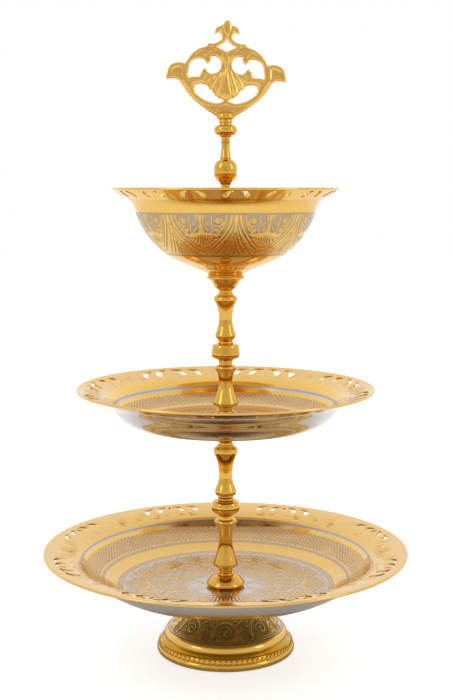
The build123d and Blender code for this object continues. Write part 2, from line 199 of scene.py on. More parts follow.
def line(pts, w, n=40):
    P = cubic(pts, max(0.3, 0.02 * 1.0)) if len(pts) > 2 else cubic(pts, 0.8)
    return P, np.full(len(P), float(w))


def dot(x, y, r):
    return np.array([[x, y], [x + 1e-3, y]]), np.array([2 * r, 2 * r])


def coverage(X, Y, ribbons, soft):
    """How far each point is inside the nearest ribbon, from 0 to 1, with a soft edge."""
    shape = X.shape
    Q = np.stack([X.ravel(), Y.ravel()], 1)
    best = np.full(len(Q), -1e9)
    for P, w in ribbons:
        lo, hi = P.min(0) - w.max() - 1, P.max(0) + w.max() + 1
        near = np.nonzero(((Q >= lo) & (Q <= hi)).all(1))[0]
        if not len(near):
            continue
        q = Q[near]
        val = np.full(len(near), -1e9)
        for i in range(len(P) - 1):
            d = P[i + 1] - P[i]
            L = max(d @ d, 1e-12)
            t = np.clip(((q - P[i]) @ d) / L, 0, 1)
            dist = np.hypot(*(q - P[i] - t[:, None] * d).T)
            val = np.maximum(val, 0.5 * (w[i] + (w[i + 1] - w[i]) * t) - dist)
        best[near] = np.maximum(best[near], val)
    return np.clip(0.5 + best / soft, 0, 1).reshape(shape)


def folded(a_deg, first, period):
    """Angle from the middle of the nearest repeat, without its sign."""
    return np.abs((a_deg - first + period / 2) % period - period / 2)


def signed_fold(a_deg, first, period):
    return (a_deg - first + period / 2) % period - period / 2


# ------------------------------------------------------------------ materials


def node(nt, kind, **kw):
    n = nt.nodes.new(kind)
    for k, v in kw.items():
        setattr(n, k, v)
    return n


def metal(name, light, deep, rough, grain=0.0, scale=90.0, dents=0.0, inlay_and_painted_shade=None, line_dark=None, stipple=None):
    """Polished metal: its colour and polish drift a little, with fine rubbed scratches.
    inlay: colours and roughness of the plated ground, and on the bottom dish's underside of the painted
    shade near the foot; line_dark: colour and strength of the dark seam round it; stipple: dots per metre, colour and
    share of punched dots in it."""
    mat = bpy.data.materials.new(name)
    mat.use_nodes = True
    nt = mat.node_tree
    bsdf = nt.nodes["Principled BSDF"]
    bsdf.inputs["Metallic"].default_value = 1.0
    tc = node(nt, "ShaderNodeTexCoord")
    cloud = node(nt, "ShaderNodeTexNoise")
    cloud.inputs["Scale"].default_value = scale
    cloud.inputs["Detail"].default_value = 5.0
    cloud.inputs["Roughness"].default_value = 0.6
    nt.links.new(tc.outputs["Object"], cloud.inputs["Vector"])
    mix = node(nt, "ShaderNodeMix", data_type="RGBA")
    mix.inputs[6].default_value = (*light, 1)
    mix.inputs[7].default_value = (*deep, 1)
    nt.links.new(cloud.outputs["Fac"], mix.inputs[0])
    fine = node(nt, "ShaderNodeTexNoise")
    fine.inputs["Scale"].default_value = 1400.0
    fine.inputs["Detail"].default_value = 3.0
    nt.links.new(tc.outputs["Object"], fine.inputs["Vector"])
    rr = node(nt, "ShaderNodeMapRange")
    rr.inputs["From Min"].default_value = 0.3
    rr.inputs["From Max"].default_value = 0.7
    rr.inputs["To Min"].default_value = rough[0]
    rr.inputs["To Max"].default_value = rough[1]
    nt.links.new(cloud.outputs["Fac"], rr.inputs["Value"])
    colour, roughness = mix.outputs[2], rr.outputs["Result"]
    if inlay_and_painted_shade:
        # the engraved bands are plated a second metal: the mesh carries how much; on the bottom dish's underside the
        # same mix is painted shade near the foot
        at = node(nt, "ShaderNodeAttribute", attribute_name="inlay_and_painted_shade")
        second = node(nt, "ShaderNodeMix", data_type="RGBA")
        second.inputs[6].default_value = (*inlay_and_painted_shade[0], 1)
        second.inputs[7].default_value = (*inlay_and_painted_shade[1], 1)
        nt.links.new(fine.outputs["Fac"], second.inputs[0])
        ground = second.outputs[2]
        if stipple:
            vor = node(nt, "ShaderNodeTexVoronoi")
            vor.inputs["Scale"].default_value = stipple[0]
            nt.links.new(tc.outputs["Object"], vor.inputs["Vector"])
            dots = node(nt, "ShaderNodeMapRange", interpolation_type="SMOOTHSTEP")
            dots.inputs["From Min"].default_value = stipple[2] - 0.10
            dots.inputs["From Max"].default_value = stipple[2] + 0.06
            dots.inputs["To Min"].default_value = 1.0
            dots.inputs["To Max"].default_value = 0.0
            nt.links.new(vor.outputs["Distance"], dots.inputs["Value"])
            third = node(nt, "ShaderNodeMix", data_type="RGBA")
            nt.links.new(dots.outputs["Result"], third.inputs[0])
            nt.links.new(ground, third.inputs[6])
            third.inputs[7].default_value = (*stipple[1], 1)
            ground = third.outputs[2]
        both = node(nt, "ShaderNodeMix", data_type="RGBA")
        nt.links.new(at.outputs["Fac"], both.inputs[0])
        nt.links.new(colour, both.inputs[6])
        nt.links.new(ground, both.inputs[7])
        if line_dark:
            # tarnish gathers where the plating meets the gilt: strongest half way
            half = node(nt, "ShaderNodeMath", operation="SUBTRACT")
            half.inputs[1].default_value = 0.5
            nt.links.new(at.outputs["Fac"], half.inputs[0])
            ab = node(nt, "ShaderNodeMath", operation="ABSOLUTE")
            nt.links.new(half.outputs[0], ab.inputs[0])
            seam = node(nt, "ShaderNodeMapRange", interpolation_type="SMOOTHSTEP")
            seam.inputs["From Min"].default_value = 0.16
            seam.inputs["From Max"].default_value = 0.48
            seam.inputs["To Min"].default_value = line_dark[1]
            seam.inputs["To Max"].default_value = 0.0
            nt.links.new(ab.outputs[0], seam.inputs["Value"])
            dark = node(nt, "ShaderNodeMix", data_type="RGBA")
            nt.links.new(seam.outputs["Result"], dark.inputs[0])
            nt.links.new(both.outputs[2], dark.inputs[6])
            dark.inputs[7].default_value = (*line_dark[0], 1)
            both = dark
        r2 = node(nt, "ShaderNodeMix", data_type="FLOAT")
        nt.links.new(at.outputs["Fac"], r2.inputs[0])
        nt.links.new(roughness, r2.inputs[2])
        r2.inputs[3].default_value = inlay_and_painted_shade[2]
        colour, roughness = both.outputs[2], r2.outputs[0]
    nt.links.new(colour, bsdf.inputs["Base Color"])
    nt.links.new(roughness, bsdf.inputs["Roughness"])
    bump = node(nt, "ShaderNodeBump")
    bump.inputs["Strength"].default_value = grain
    bump.inputs["Distance"].default_value = 0.0002
    nt.links.new(fine.outputs["Fac"], bump.inputs["Height"])
    last = bump
    if dents:
        soft = node(nt, "ShaderNodeTexNoise")
        soft.inputs["Scale"].default_value = 42.0
        soft.inputs["Detail"].default_value = 1.0
        nt.links.new(tc.outputs["Object"], soft.inputs["Vector"])
        b2 = node(nt, "ShaderNodeBump")
        b2.inputs["Strength"].default_value = dents
        b2.inputs["Distance"].default_value = 0.001
        nt.links.new(soft.outputs["Fac"], b2.inputs["Height"])
        nt.links.new(bump.outputs["Normal"], b2.inputs["Normal"])
        last = b2
    nt.links.new(last.outputs["Normal"], bsdf.inputs["Normal"])
    return mat


GOLD_L, GOLD_D = (0.82, 0.54, 0.19), (0.78, 0.49, 0.15)
BOWL_L, BOWL_D = (0.82, 0.52, 0.14), (0.77, 0.46, 0.10)
DEEP_L, DEEP_D = (0.76, 0.455, 0.095), (0.69, 0.395, 0.065)
SILVER_L, SILVER_D = (0.70, 0.62, 0.57), (0.54, 0.46, 0.42)
gold_dish = metal("gilt_dish", GOLD_L, GOLD_D, (0.08, 0.15), grain=0.03, dents=0.012)
gold_bowl = metal("gilt_bowl", BOWL_L, BOWL_D, (0.05, 0.09), grain=0.02, dents=0.02)
# painted light: a brighter, more saturated copy of the bowl gilt, standing in for the warm light bounced about inside
# the bowl
gold_inside_painted_light = metal("gilt_bowl_inside_painted_light", (0.93, 0.60, 0.16), (0.89, 0.55, 0.12), (0.05, 0.09), grain=0.02, dents=0.02)
bowl_inlay = metal("gilt_bowl_inlay", BOWL_L, BOWL_D, (0.06, 0.11), grain=0.03, inlay_and_painted_shade=((0.48, 0.39, 0.29), (0.35, 0.27, 0.19), 0.24), line_dark=((0.26, 0.17, 0.08), 0.50))
foot_inlay = metal("gilt_foot_inlay", (0.79, 0.50, 0.11), (0.71, 0.43, 0.075), (0.09, 0.15), grain=0.03, inlay_and_painted_shade=((0.56, 0.43, 0.36), (0.40, 0.30, 0.24), 0.22), line_dark=((0.14, 0.09, 0.03), 0.55))
gold_foot = metal("gilt_foot", BOWL_L, BOWL_D, (0.10, 0.15), grain=0.02)
# painted shade: a darker, redder copy of the gilt for the foot's cove and the inner wall at its height
gold_groove_painted_shade = metal("gilt_groove_painted_shade", (0.64, 0.35, 0.035), (0.54, 0.28, 0.02), (0.12, 0.20), grain=0.04)
gold_turned = metal("gilt_turned", DEEP_L, DEEP_D, (0.05, 0.10), grain=0.02, scale=140)
gold_cast = metal("gilt_cast", (0.83, 0.52, 0.16), (0.73, 0.42, 0.09), (0.12, 0.18), grain=0.004, scale=120, dents=0.05)
gold_inlay = metal("gilt_inlay", GOLD_L, GOLD_D, (0.08, 0.14), grain=0.04, inlay_and_painted_shade=(SILVER_L, SILVER_D, 0.22), line_dark=((0.26, 0.17, 0.09), 0.48), stipple=(520.0, (0.60, 0.40, 0.20), 0.42))
gold_shoulder = metal("gilt_shoulder", (0.91, 0.60, 0.17), (0.87, 0.55, 0.13), (0.06, 0.11), grain=0.03, inlay_and_painted_shade=(SILVER_L, SILVER_D, 0.22))
thin_ring = metal("engraved_ring", (0.50, 0.40, 0.31), (0.40, 0.31, 0.24), (0.22, 0.32), grain=0.10)
petal_plate = metal("petal_plating", (0.62, 0.64, 0.68), (0.52, 0.53, 0.57), (0.20, 0.30), grain=0.10)
nickel = metal("nickel_band", (0.50, 0.46, 0.45), (0.39, 0.36, 0.35), (0.22, 0.32), grain=0.10)
lattice_pit = metal("lattice_ground", (0.62, 0.53, 0.48), (0.46, 0.38, 0.34), (0.30, 0.42), grain=0.15)
# painted shade: the second pair of colours darkens the bottom dish's underside near the foot, standing in for the shade
# under the dish
under_plate_painted_shade = metal("plated_underside_painted_shade", (0.72, 0.665, 0.625), (0.67, 0.615, 0.575), (0.05, 0.09), grain=0.02, inlay_and_painted_shade=((0.45, 0.37, 0.23), (0.38, 0.31, 0.18), 0.18))
under_middle = metal("plated_underside_middle", (0.67, 0.635, 0.61), (0.61, 0.575, 0.55), (0.03, 0.06), grain=0.02)
steel = metal("zinc_steel", (0.62, 0.62, 0.63), (0.50, 0.50, 0.52), (0.28, 0.42), grain=0.3)

# ------------------------------------------------------------------ foot
FOOT_N = 720
foot_runs_cone = [(33.0, 52.4), (32.8, 51.0), (32.2, 49.4), (31.3, 46.6), (30.9, 43.0), (31.6, 39.4),
                  (33.2, 36.0), (35.6, 32.4), (38.6, 28.8), (41.8, 25.4), (45.0, 22.4), (48.3, 19.8)]
cone = eased(cubic(foot_runs_cone, 0.5), 1.2)


def foot_ornament(P, N):
    """Scrolls and leaves in a band of eight repeats, drawn in plated lines; returns the
    share of plating."""
    s = arc(P)
    s = s[-1] - s                       # up from the bottom of the cone
    a = 360.0 * np.arange(N) / N
    rep = signed_fold(a, 1.0, 45.0)
    R = P[:, 0]
    X = np.radians(rep)[None, :] * R[:, None]
    Y = np.repeat(s[:, None], N, 1)
    rib = []
    # a great scroll: two lines side by side winding into a round heart
    rib.append(spiral(0.0, 11.6, 9.2, 2.0, 215, 1.8, -1, 0.85, 0.6))
    rib.append(spiral(0.0, 11.6, 7.6, 1.3, 215, 1.7, -1, 0.6, 0.45))
    rib.append(dot(0.3, 11.6, 0.8))
    for k in range(13):
        t = math.radians(205 - 26 * k)
        rib.append(stroke((4.3 * math.cos(t), 11.6 + 4.3 * math.sin(t)), (7.2 * math.cos(t - 0.45), 11.6 + 7.2 * math.sin(t - 0.45)), 0.5, 0.6))
    for k in range(6):
        t = math.radians(150 - 24 * k)
        rib.append(stroke((9.4 * math.cos(t), 11.6 + 9.4 * math.sin(t)), (12.0 * math.cos(t - 0.22), 11.6 + 11.6 * math.sin(t - 0.22)), 0.5, 0.7))
    for x0, y0, x1, y1, bow in ((-11.5, 21.5, -6.5, 23.0, 0.5), (6.0, 22.6, 11.8, 21.2, 0.5), (-13.0, 4.0, -9.6, 8.6, -0.6),
                                (9.2, 5.2, 13.0, 3.6, -0.5), (10.0, 8.4, 13.2, 11.6, 0.6), (-12.6, 12.4, -10.0, 15.6, 0.6)):
        rib.append(stroke((x0, y0), (x1, y1), bow, 0.9))
    # stem that leads from one scroll up into the next
    rib.append(line([(-9.2, 11.2), (-9.2, 6.2), (-12.4, 3.1), (-17.4, 3.2)], 0.95))
    rib.append(line([(8.8, 14.4), (11.2, 18.6), (15.0, 20.6), (18.5, 18.4)], 0.95))
    # tall leaf between two scrolls: spine, side lobes and their veins
    for sx in (-1, 1):
        x0 = sx * 16.6
        rib.append(line([(x0, 3.0), (x0 - sx * 0.8, 9.0), (x0 - sx * 0.2, 14.0), (x0 + sx * 0.6, 21.0)], 0.85))
        for y0, y1, dx in ((3.8, 8.6, 3.4), (6.8, 12.4, 4.2), (10.2, 16.2, 4.2), (13.6, 19.4, 3.4)):
            for side in (-1, 1):
                rib.append(stroke((x0, y0), (x0 + side * dx, y1), -side * 0.9, 0.85))
                rib.append(stroke((x0 + side * 0.4, y0 + 1.6), (x0 + side * (dx - 1.2), y1 + 0.9), -side * 0.7, 0.5))
        rib.append(spiral(x0 - sx * 6.6, 19.6, 3.1, 0.7, 240, 1.4, sx, 0.65, 0.45))
    c = coverage(X, Y, rib, 0.42)
    ring = np.clip(1.9 - np.abs(Y - 0.95) / 0.60, 0, 1)        # broad line round the band's foot
    ring = np.maximum(ring, np.clip(1.5 - np.abs(Y - 2.9) / 0.26, 0, 1))
    top = np.clip(1.6 - np.abs(Y - 24.2) / 0.4, 0, 1)
    return np.maximum(c, np.maximum(ring, top))


silver = foot_ornament(cone, FOOT_N)
plain = np.clip((arc(cone)[-1] - arc(cone) - 25.5) / 1.0, 0, 1)[:, None]   # the neck above is plain
silver = silver * (1 - plain) + 0.35 * plain
V, F = spun(cone, FOOT_N, -0.32 * silver)
piece("foot_engraved_cone", V, F, "stand", [foot_inlay], attrs={"inlay_and_painted_shade": silver.ravel()}, corner=None)

foot_low = chain([[(48.3, 19.8), (49.45, 18.5), (50.4, 17.1), (51.05, 15.6), (51.3, 14.0)],
                  [(51.3, 14.0), (50.4, 13.2)], [(50.4, 13.2), (51.2, 12.3), (52.1, 11.2), (52.9, 10.1)],
                  [(52.9, 10.1), (53.4, 9.7)], [(53.4, 9.7), (53.4, 9.2)], [(53.4, 9.2), (49.4, 9.2)],
                  [(49.4, 9.2), (49.4, 10.4)],
                  [(49.4, 10.4), (49.0, 11.2), (48.7, 12.4), (49.0, 13.9), (49.7, 15.2), (48.9, 16.9), (47.0, 18.8),
                   (44.0, 21.2), (40.7, 24.3), (37.4, 27.8), (34.3, 31.5), (31.8, 35.2), (30.0, 38.9), (29.3, 43.0),
                   (29.8, 46.6), (31.6, 49.4), (32.0, 50.4)],
                  [(32.0, 50.4), (3.2, 50.4)], [(3.2, 50.4), (3.2, 52.4)], [(3.2, 52.4), (33.0, 52.4)]], 0.45)
V, F = spun(foot_low, 240)
fz = V[F, 2].mean(axis=1)
# faces between z 9.3 and 13.7 mm, the cove and the inner wall, take the darker gilt as painted shade
foot_body = piece("foot_shoulder_and_inside", V, F, "stand", [gold_foot, gold_groove_painted_shade], mi=((fz > 9.3) & (fz < 13.7)).astype(np.int32),
                  corner=30)

ring_prof = chain([[(47.0, 7.8), (47.0, 0.0)], [(47.0, 0.0), (54.4, 0.0)], [(54.4, 0.0), (55.4, 0.4)],
                   [(55.4, 0.4), (56.6, 1.2), (57.2, 2.8), (56.9, 4.9), (55.9, 6.4)],
                   [(55.9, 6.4), (55.5, 6.5)], [(55.5, 6.5), (54.6, 8.9)], [(54.6, 8.9), (54.4, 9.2)],
                   [(54.4, 9.2), (48.4, 9.2)], [(48.4, 9.2), (47.0, 7.8)]], 0.4)
V, F = spun(ring_prof[:-1], 240, closed=True)
base_ring = piece("foot_torus", V, F, "stand", [gold_turned], corner=30)

# rope border: slanted beads laid round the base ring's sloping face
bm = bmesh.new()
NB = 78
for i in range(NB):
    a = 2 * math.pi * i / NB
    m = (Matrix.Rotation(a, 4, "Z") @ Matrix.Translation((0, -55.05 * MM, 7.65 * MM)) @ Matrix.Rotation(math.radians(-20), 4, "X")
         @ Matrix.Rotation(math.radians(38), 4, "Y") @ Matrix.Diagonal((1.25 * MM, 1.05 * MM, 1.95 * MM, 1)))
    bmesh.ops.create_uvsphere(bm, u_segments=14, v_segments=9, radius=1.0, matrix=m)
me = bpy.data.meshes.new("foot_rope_border")
bm.to_mesh(me)
bm.free()
me.polygons.foreach_set("use_smooth", np.ones(len(me.polygons), bool))
me.materials.append(gold_turned)
rope = bpy.data.objects.new("foot_rope_border", me)
scene.collection.objects.link(rope)
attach(rope, "stand")

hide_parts("foot_shell")
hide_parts("foot_base_ring")

# ------------------------------------------------------------------ pierced rims
STATIONS = [(0.0, 0.30), (0.2, 0.50), (0.4, 0.72), (0.6, 0.93), (0.78, 1.0), (0.9, 0.86), (1.0, 0.44)]


def comma(p0, p1, p2, w, ref, n=15):
    (x0, y0), (x1, y1), (x2, y2) = [(math.radians(a) * ref, r) for a, r in (p0, p1, p2)]
    left, right = [], []
    S = np.array(STATIONS)
    for s in np.concatenate([np.linspace(0, 0.75, n - 5, endpoint=False), np.linspace(0.75, 1.0, 6)]):
        share = cubic_at(S, s)
        cx = (1 - s) ** 2 * x0 + 2 * s * (1 - s) * x1 + s * s * x2
        cy = (1 - s) ** 2 * y0 + 2 * s * (1 - s) * y1 + s * s * y2
        dx = 2 * (1 - s) * (x1 - x0) + 2 * s * (x2 - x1)
        dy = 2 * (1 - s) * (y1 - y0) + 2 * s * (y2 - y1)
        d = math.hypot(dx, dy)
        h = 0.5 * w * share
        left.append((cx - dy / d * h, cy + dx / d * h))
        right.append((cx + dy / d * h, cy - dx / d * h))
    return np.array(left + right[::-1])


def cubic_at(S, s):
    k = min(int(np.searchsorted(S[:, 0], s, side="right")) - 1, len(S) - 2)
    t = (s - S[k, 0]) / (S[k + 1, 0] - S[k, 0])
    t = t * t * (3 - 2 * t)
    return S[k, 1] + (S[k + 1, 1] - S[k, 1]) * t


BOTTOM_SLOTS = [
    ((1.3, 142.0), (5.0, 142.2), (4.3, 132.9), 4.8),
    ((6.5, 141.7), (10.7, 141.0), (9.8, 132.3), 4.7),
    ((0.0, 141.9), (0.0, 138.6), (0.0, 136.0), 2.5),
]
MIDDLE_SLOTS = [((1.1, 115.6), (6.7, 116.2), (6.2, 105.4), 5.7), ((8.8, 115.1), (14.6, 114.0), (13.4, 105.0), 5.5)]
BOWL_SLOTS = [((1.9, 87.9), (5.7, 87.3), (5.6, 80.2), 4.5)]


def inside(Q, poly):
    x, y = Q[:, 0], Q[:, 1]
    c = np.zeros(len(Q), bool)
    j = len(poly) - 1
    for i in range(len(poly)):
        xi, yi = poly[i]
        xj, yj = poly[j]
        if yi != yj:
            c ^= ((yi > y) != (yj > y)) & (x < (xj - xi) * (y - yi) / (yj - yi) + xi)
        j = i
    return c


def edge_distance(Q, poly):
    best = np.full(len(Q), 1e9)
    for i in range(len(poly)):
        a, b = poly[i], poly[(i + 1) % len(poly)]
        d = b - a
        t = np.clip(((Q - a) @ d) / max(d @ d, 1e-12), 0, 1)
        best = np.minimum(best, np.hypot(*(Q - a - t[:, None] * d).T))
    return best


def sheet_cdt(W, R0, R1, loops, gap, nx, ny):
    """Triangles of one sector with its slots left out. Returns points, triangles and,
    for each loop (outline first), the point numbers along it."""
    xs, ys = np.linspace(-W, W, nx), np.linspace(R0, R1, ny)
    outline = [(x, R0) for x in xs] + [(W, y) for y in ys[1:]] + [(x, R1) for x in xs[::-1][1:]] + [(-W, y) for y in ys[::-1][1:-1]]
    rings = [np.array(outline)] + loops
    pts, edges, idx = [], [], []
    for loop in rings:
        start = len(pts)
        pts += [tuple(p) for p in loop]
        n = len(loop)
        edges += [(start + i, start + (i + 1) % n) for i in range(n)]
        idx.append(list(range(start, start + n)))
    gx = np.arange(-W + gap, W - gap * 0.5, gap)
    gy = np.arange(R0 + gap * 0.87, R1 - gap * 0.4, gap * 0.87)
    G = np.array([(x + (gap / 2 if k % 2 else 0), y) for k, y in enumerate(gy) for x in gx])
    G = G[(np.abs(G[:, 0]) < W - gap * 0.4)]
    keep = np.ones(len(G), bool)
    for loop in loops:
        lo, hi = loop.min(0) - gap, loop.max(0) + gap
        near = np.nonzero(((G > lo) & (G < hi)).all(1))[0]
        if len(near):
            q = G[near]
            keep[near] &= ~(inside(q, loop) | (edge_distance(q, loop) < gap * 0.45))
    G = G[keep]
    pts += [tuple(p) for p in G]
    out = delaunay_2d_cdt([Vector(p) for p in pts], edges, [], 0, 1e-7)
    OV, OF, orig = out[0], out[2], out[3]
    where = {}
    for new, olds in enumerate(orig):
        for o in olds:
            where[o] = new
    Q = np.array([(v[0], v[1]) for v in OV])
    T = np.array([f for f in OF if len(f) == 3])
    c = Q[T].mean(1)
    drop = np.zeros(len(T), bool)
    for loop in loops:
        drop |= inside(c, loop)
    T = T[~drop]
    # counter-clockwise
    A = Q[T]
    area = (A[:, 1, 0] - A[:, 0, 0]) * (A[:, 2, 1] - A[:, 0, 1]) - (A[:, 1, 1] - A[:, 0, 1]) * (A[:, 2, 0] - A[:, 0, 0])
    T[area < 0] = T[area < 0][:, ::-1]
    return Q, T, [[where[i] for i in loop] for loop in idx]


def pierced_rim(name, body, prof, t, slots, groups, first, ref, engrave, mats, gap=0.8, lip=1.45):
    """A rim on profile prof with its real slots, a chased top and a rolled edge, closed."""
    (R0, z0), (R1, z1) = prof[0], prof[-1]
    tilt = normals2(prof)
    W = ref * math.pi / groups
    loops = []
    for p0, p1, p2, w in slots:
        q = comma(p0, p1, p2, w, ref)
        loops.append(q)
        if p0[0]:
            loops.append((q * [-1, 1])[::-1])
    nx, ny = int(2 * W / gap) + 1, int((R1 - R0) / gap) + 1
    top, Tt, It = sheet_cdt(W, R0, R1, loops, gap, nx, ny)
    bot, Tb, Ib = sheet_cdt(W, R0, R1, loops, 2.6, nx, ny)
    edge = np.full(len(top), 1e9)
    for loop in loops:
        lo, hi = loop.min(0) - 2, loop.max(0) + 2
        near = np.nonzero(((top > lo) & (top < hi)).all(1))[0]
        if len(near):
            edge[near] = np.minimum(edge[near], edge_distance(top[near], loop))
    h = engrave(top[:, 0], top[:, 1], W)
    h = h - 0.20 * np.exp(-((edge - 1.5) / 0.38) ** 2)          # a chased line round each slot
    # the cut edges are rubbed round by polishing
    h = h * np.clip(edge / 1.0, 0, 1) - 0.22 * np.clip(1 - edge / 0.9, 0, 1) ** 2
    h = h * np.clip((top[:, 1] - R0) / 0.6, 0, 1) * np.clip((R1 - top[:, 1]) / 0.8, 0, 1)

    def place(Q, lift):
        r = Q[:, 1] + np.interp(Q[:, 1], prof[:, 0], tilt[:, 0]) * lift
        z = np.interp(Q[:, 1], prof[:, 0], prof[:, 1]) + np.interp(Q[:, 1], prof[:, 0], tilt[:, 1]) * lift
        a = Q[:, 0] / ref
        return np.stack([r * np.sin(a), -r * np.cos(a), z], 1)

    Vs = [place(top, h), place(bot, np.full(len(bot), -t))]
    nt = len(top)
    F = [list(f[::-1]) for f in Tt] + [[i + nt for i in f] for f in Tb]
    # walls of the slots and the inner edge
    for lt, lb in zip(It[1:], Ib[1:]):
        n = len(lt)
        for i in range(n):
            F.append([lt[i], lt[(i + 1) % n], lb[(i + 1) % n] + nt, lb[i] + nt])
    for i in range(nx - 1):
        F.append([It[0][i + 1], It[0][i], Ib[0][i] + nt, Ib[0][i + 1] + nt])
    # rolled edge
    top_row = It[0][nx - 1 + ny - 1: nx - 1 + ny - 1 + nx]      # x from W to -W
    bot_row = Ib[0][nx - 1 + ny - 1: nx - 1 + ny - 1 + nx]
    xr = top[top_row][:, 0]
    base = nt + len(bot)
    steps = 9
    nr, nz = tilt[-1]
    cr, cz = R1 - nr * t / 2, z1 - nz * t / 2
    rows = [list(top_row)]
    extra = []
    a0 = math.atan2(nz, nr)
    for k in range(1, steps):
        ang = a0 - math.pi * k / steps
        rr = t / 2 + (lip - t / 2) * math.sin(math.pi * k / steps)
        r, z = cr + rr * math.cos(ang), cz + rr * math.sin(ang)
        a = xr / ref
        extra.append(np.stack([r * np.sin(a), -r * np.cos(a), np.full(len(a), z)], 1))
        rows.append([base + (k - 1) * nx + i for i in range(nx)])
    rows.append([i + nt for i in bot_row])
    Vs += extra
    for k in range(len(rows) - 1):
        for i in range(nx - 1):
            F.append([rows[k][i], rows[k + 1][i], rows[k + 1][i + 1], rows[k][i + 1]])
    V1 = np.vstack(Vs)
    nv = len(V1)
    VV, FF = [], []
    for gidx in range(groups):
        b = math.radians(first + 360.0 / groups * gidx)
        c, s = math.cos(b), math.sin(b)
        Rz = np.array([[c, -s, 0], [s, c, 0], [0, 0, 1]])
        VV.append(V1 @ Rz.T)
        FF += [[i + gidx * nv for i in f] for f in F]
    return piece(name, np.vstack(VV), FF, body, mats, corner=40, weld=True)


def chased(scale, palm_y, palm_h, swag):
    """Chasing of a rim: a palmette between two groups and leaf strokes beside the slots."""
    def f(x, y, W):
        ax = np.abs(x)
        rib = []
        for k, (dx, top) in enumerate(((0, 1.0), (3.2, 0.95), (6.2, 0.8), (8.6, 0.55), (10.0, 0.25))):
            rib.append(stroke((W - 0.15 * dx * scale, palm_y), (W - dx * scale, palm_y + palm_h * top), 0.10 * dx * scale, 1.35 * scale))
        for x0, y0, x1, y1, bow in swag:
            rib.append(stroke((x0, y0), (x1, y1), bow, 1.4 * scale))
        return -0.60 * scale * coverage(ax, y, rib, 0.9)
    return f


# ------------------------------------------------------------------ diamond lattice


def lattice(name, P, N, M, body):
    """Chased diamond lattice laid on profile P: flush lines, sunk plated diamonds."""
    s = arc(P)
    n2 = normals2(P)

    def at(u, v, depth):
        q = v / M * s[-1]
        r = np.interp(q, s, P[:, 0]) + np.interp(q, s, n2[:, 0]) * depth
        z = np.interp(q, s, P[:, 1]) + np.interp(q, s, n2[:, 1]) * depth
        a = 2 * math.pi * u / N
        return (r * math.sin(a), -r * math.cos(a), z)

    V, F, mi = [], [], []
    seen = {}

    def vert(u, v, depth, share=True):
        key = (round(u % N, 5), round(v, 5), depth)
        if share and key in seen:
            return seen[key]
        V.append(at(u, v, depth))
        seen[key] = len(V) - 1
        return len(V) - 1

    off = [(-0.5, 0), (0, -0.5), (0.5, 0), (0, 0.5)]
    for j in range(2 * M - 1):
        for i in range(N):
            cu, cv = i + 0.5 * (j % 2), 0.5 * (j + 1)
            O = [vert(cu + a, cv + b, 0.0) for a, b in off]
            Mg = [vert(cu + a * 0.80, cv + b * 0.80, 0.0) for a, b in off]
            In = [vert(cu + a * 0.66, cv + b * 0.66, -0.26) for a, b in off]
            for k in range(4):
                k1 = (k + 1) % 4
                F.append([O[k1], O[k], Mg[k], Mg[k1]]); mi.append(0)
                F.append([Mg[k1], Mg[k], In[k], In[k1]]); mi.append(0)
            F.append(In[::-1]); mi.append(1)
    for i in range(N):
        F.append([vert(i + 1, 0, 0.0), vert(i, 0, 0.0), vert(i + 0.5, 0.5, 0.0)]); mi.append(0)
        F.append([vert(i, M, 0.0), vert(i + 1, M, 0.0), vert(i + 0.5, M - 0.5, 0.0)]); mi.append(0)
    return piece(name, V, F, body, [gold_dish, lattice_pit], mi=mi, corner=20)


# ------------------------------------------------------------------ dishes


def radial_rows(P, marks, step):
    """Profile resampled so that rows fall exactly on the marked radii."""
    R = P[:, 0]
    edges = [R[0]] + [m for m in marks if R[0] < m < R[-1]] + [R[-1]]
    rows = []
    for a, b in zip(edges[:-1], edges[1:]):
        n = max(1, int(round((b - a) / step)))
        rows += list(np.linspace(a, b, n, endpoint=False))
    rows.append(R[-1])
    rows = np.array(rows)
    return np.stack([rows, np.interp(rows, R, P[:, 1])], 1)


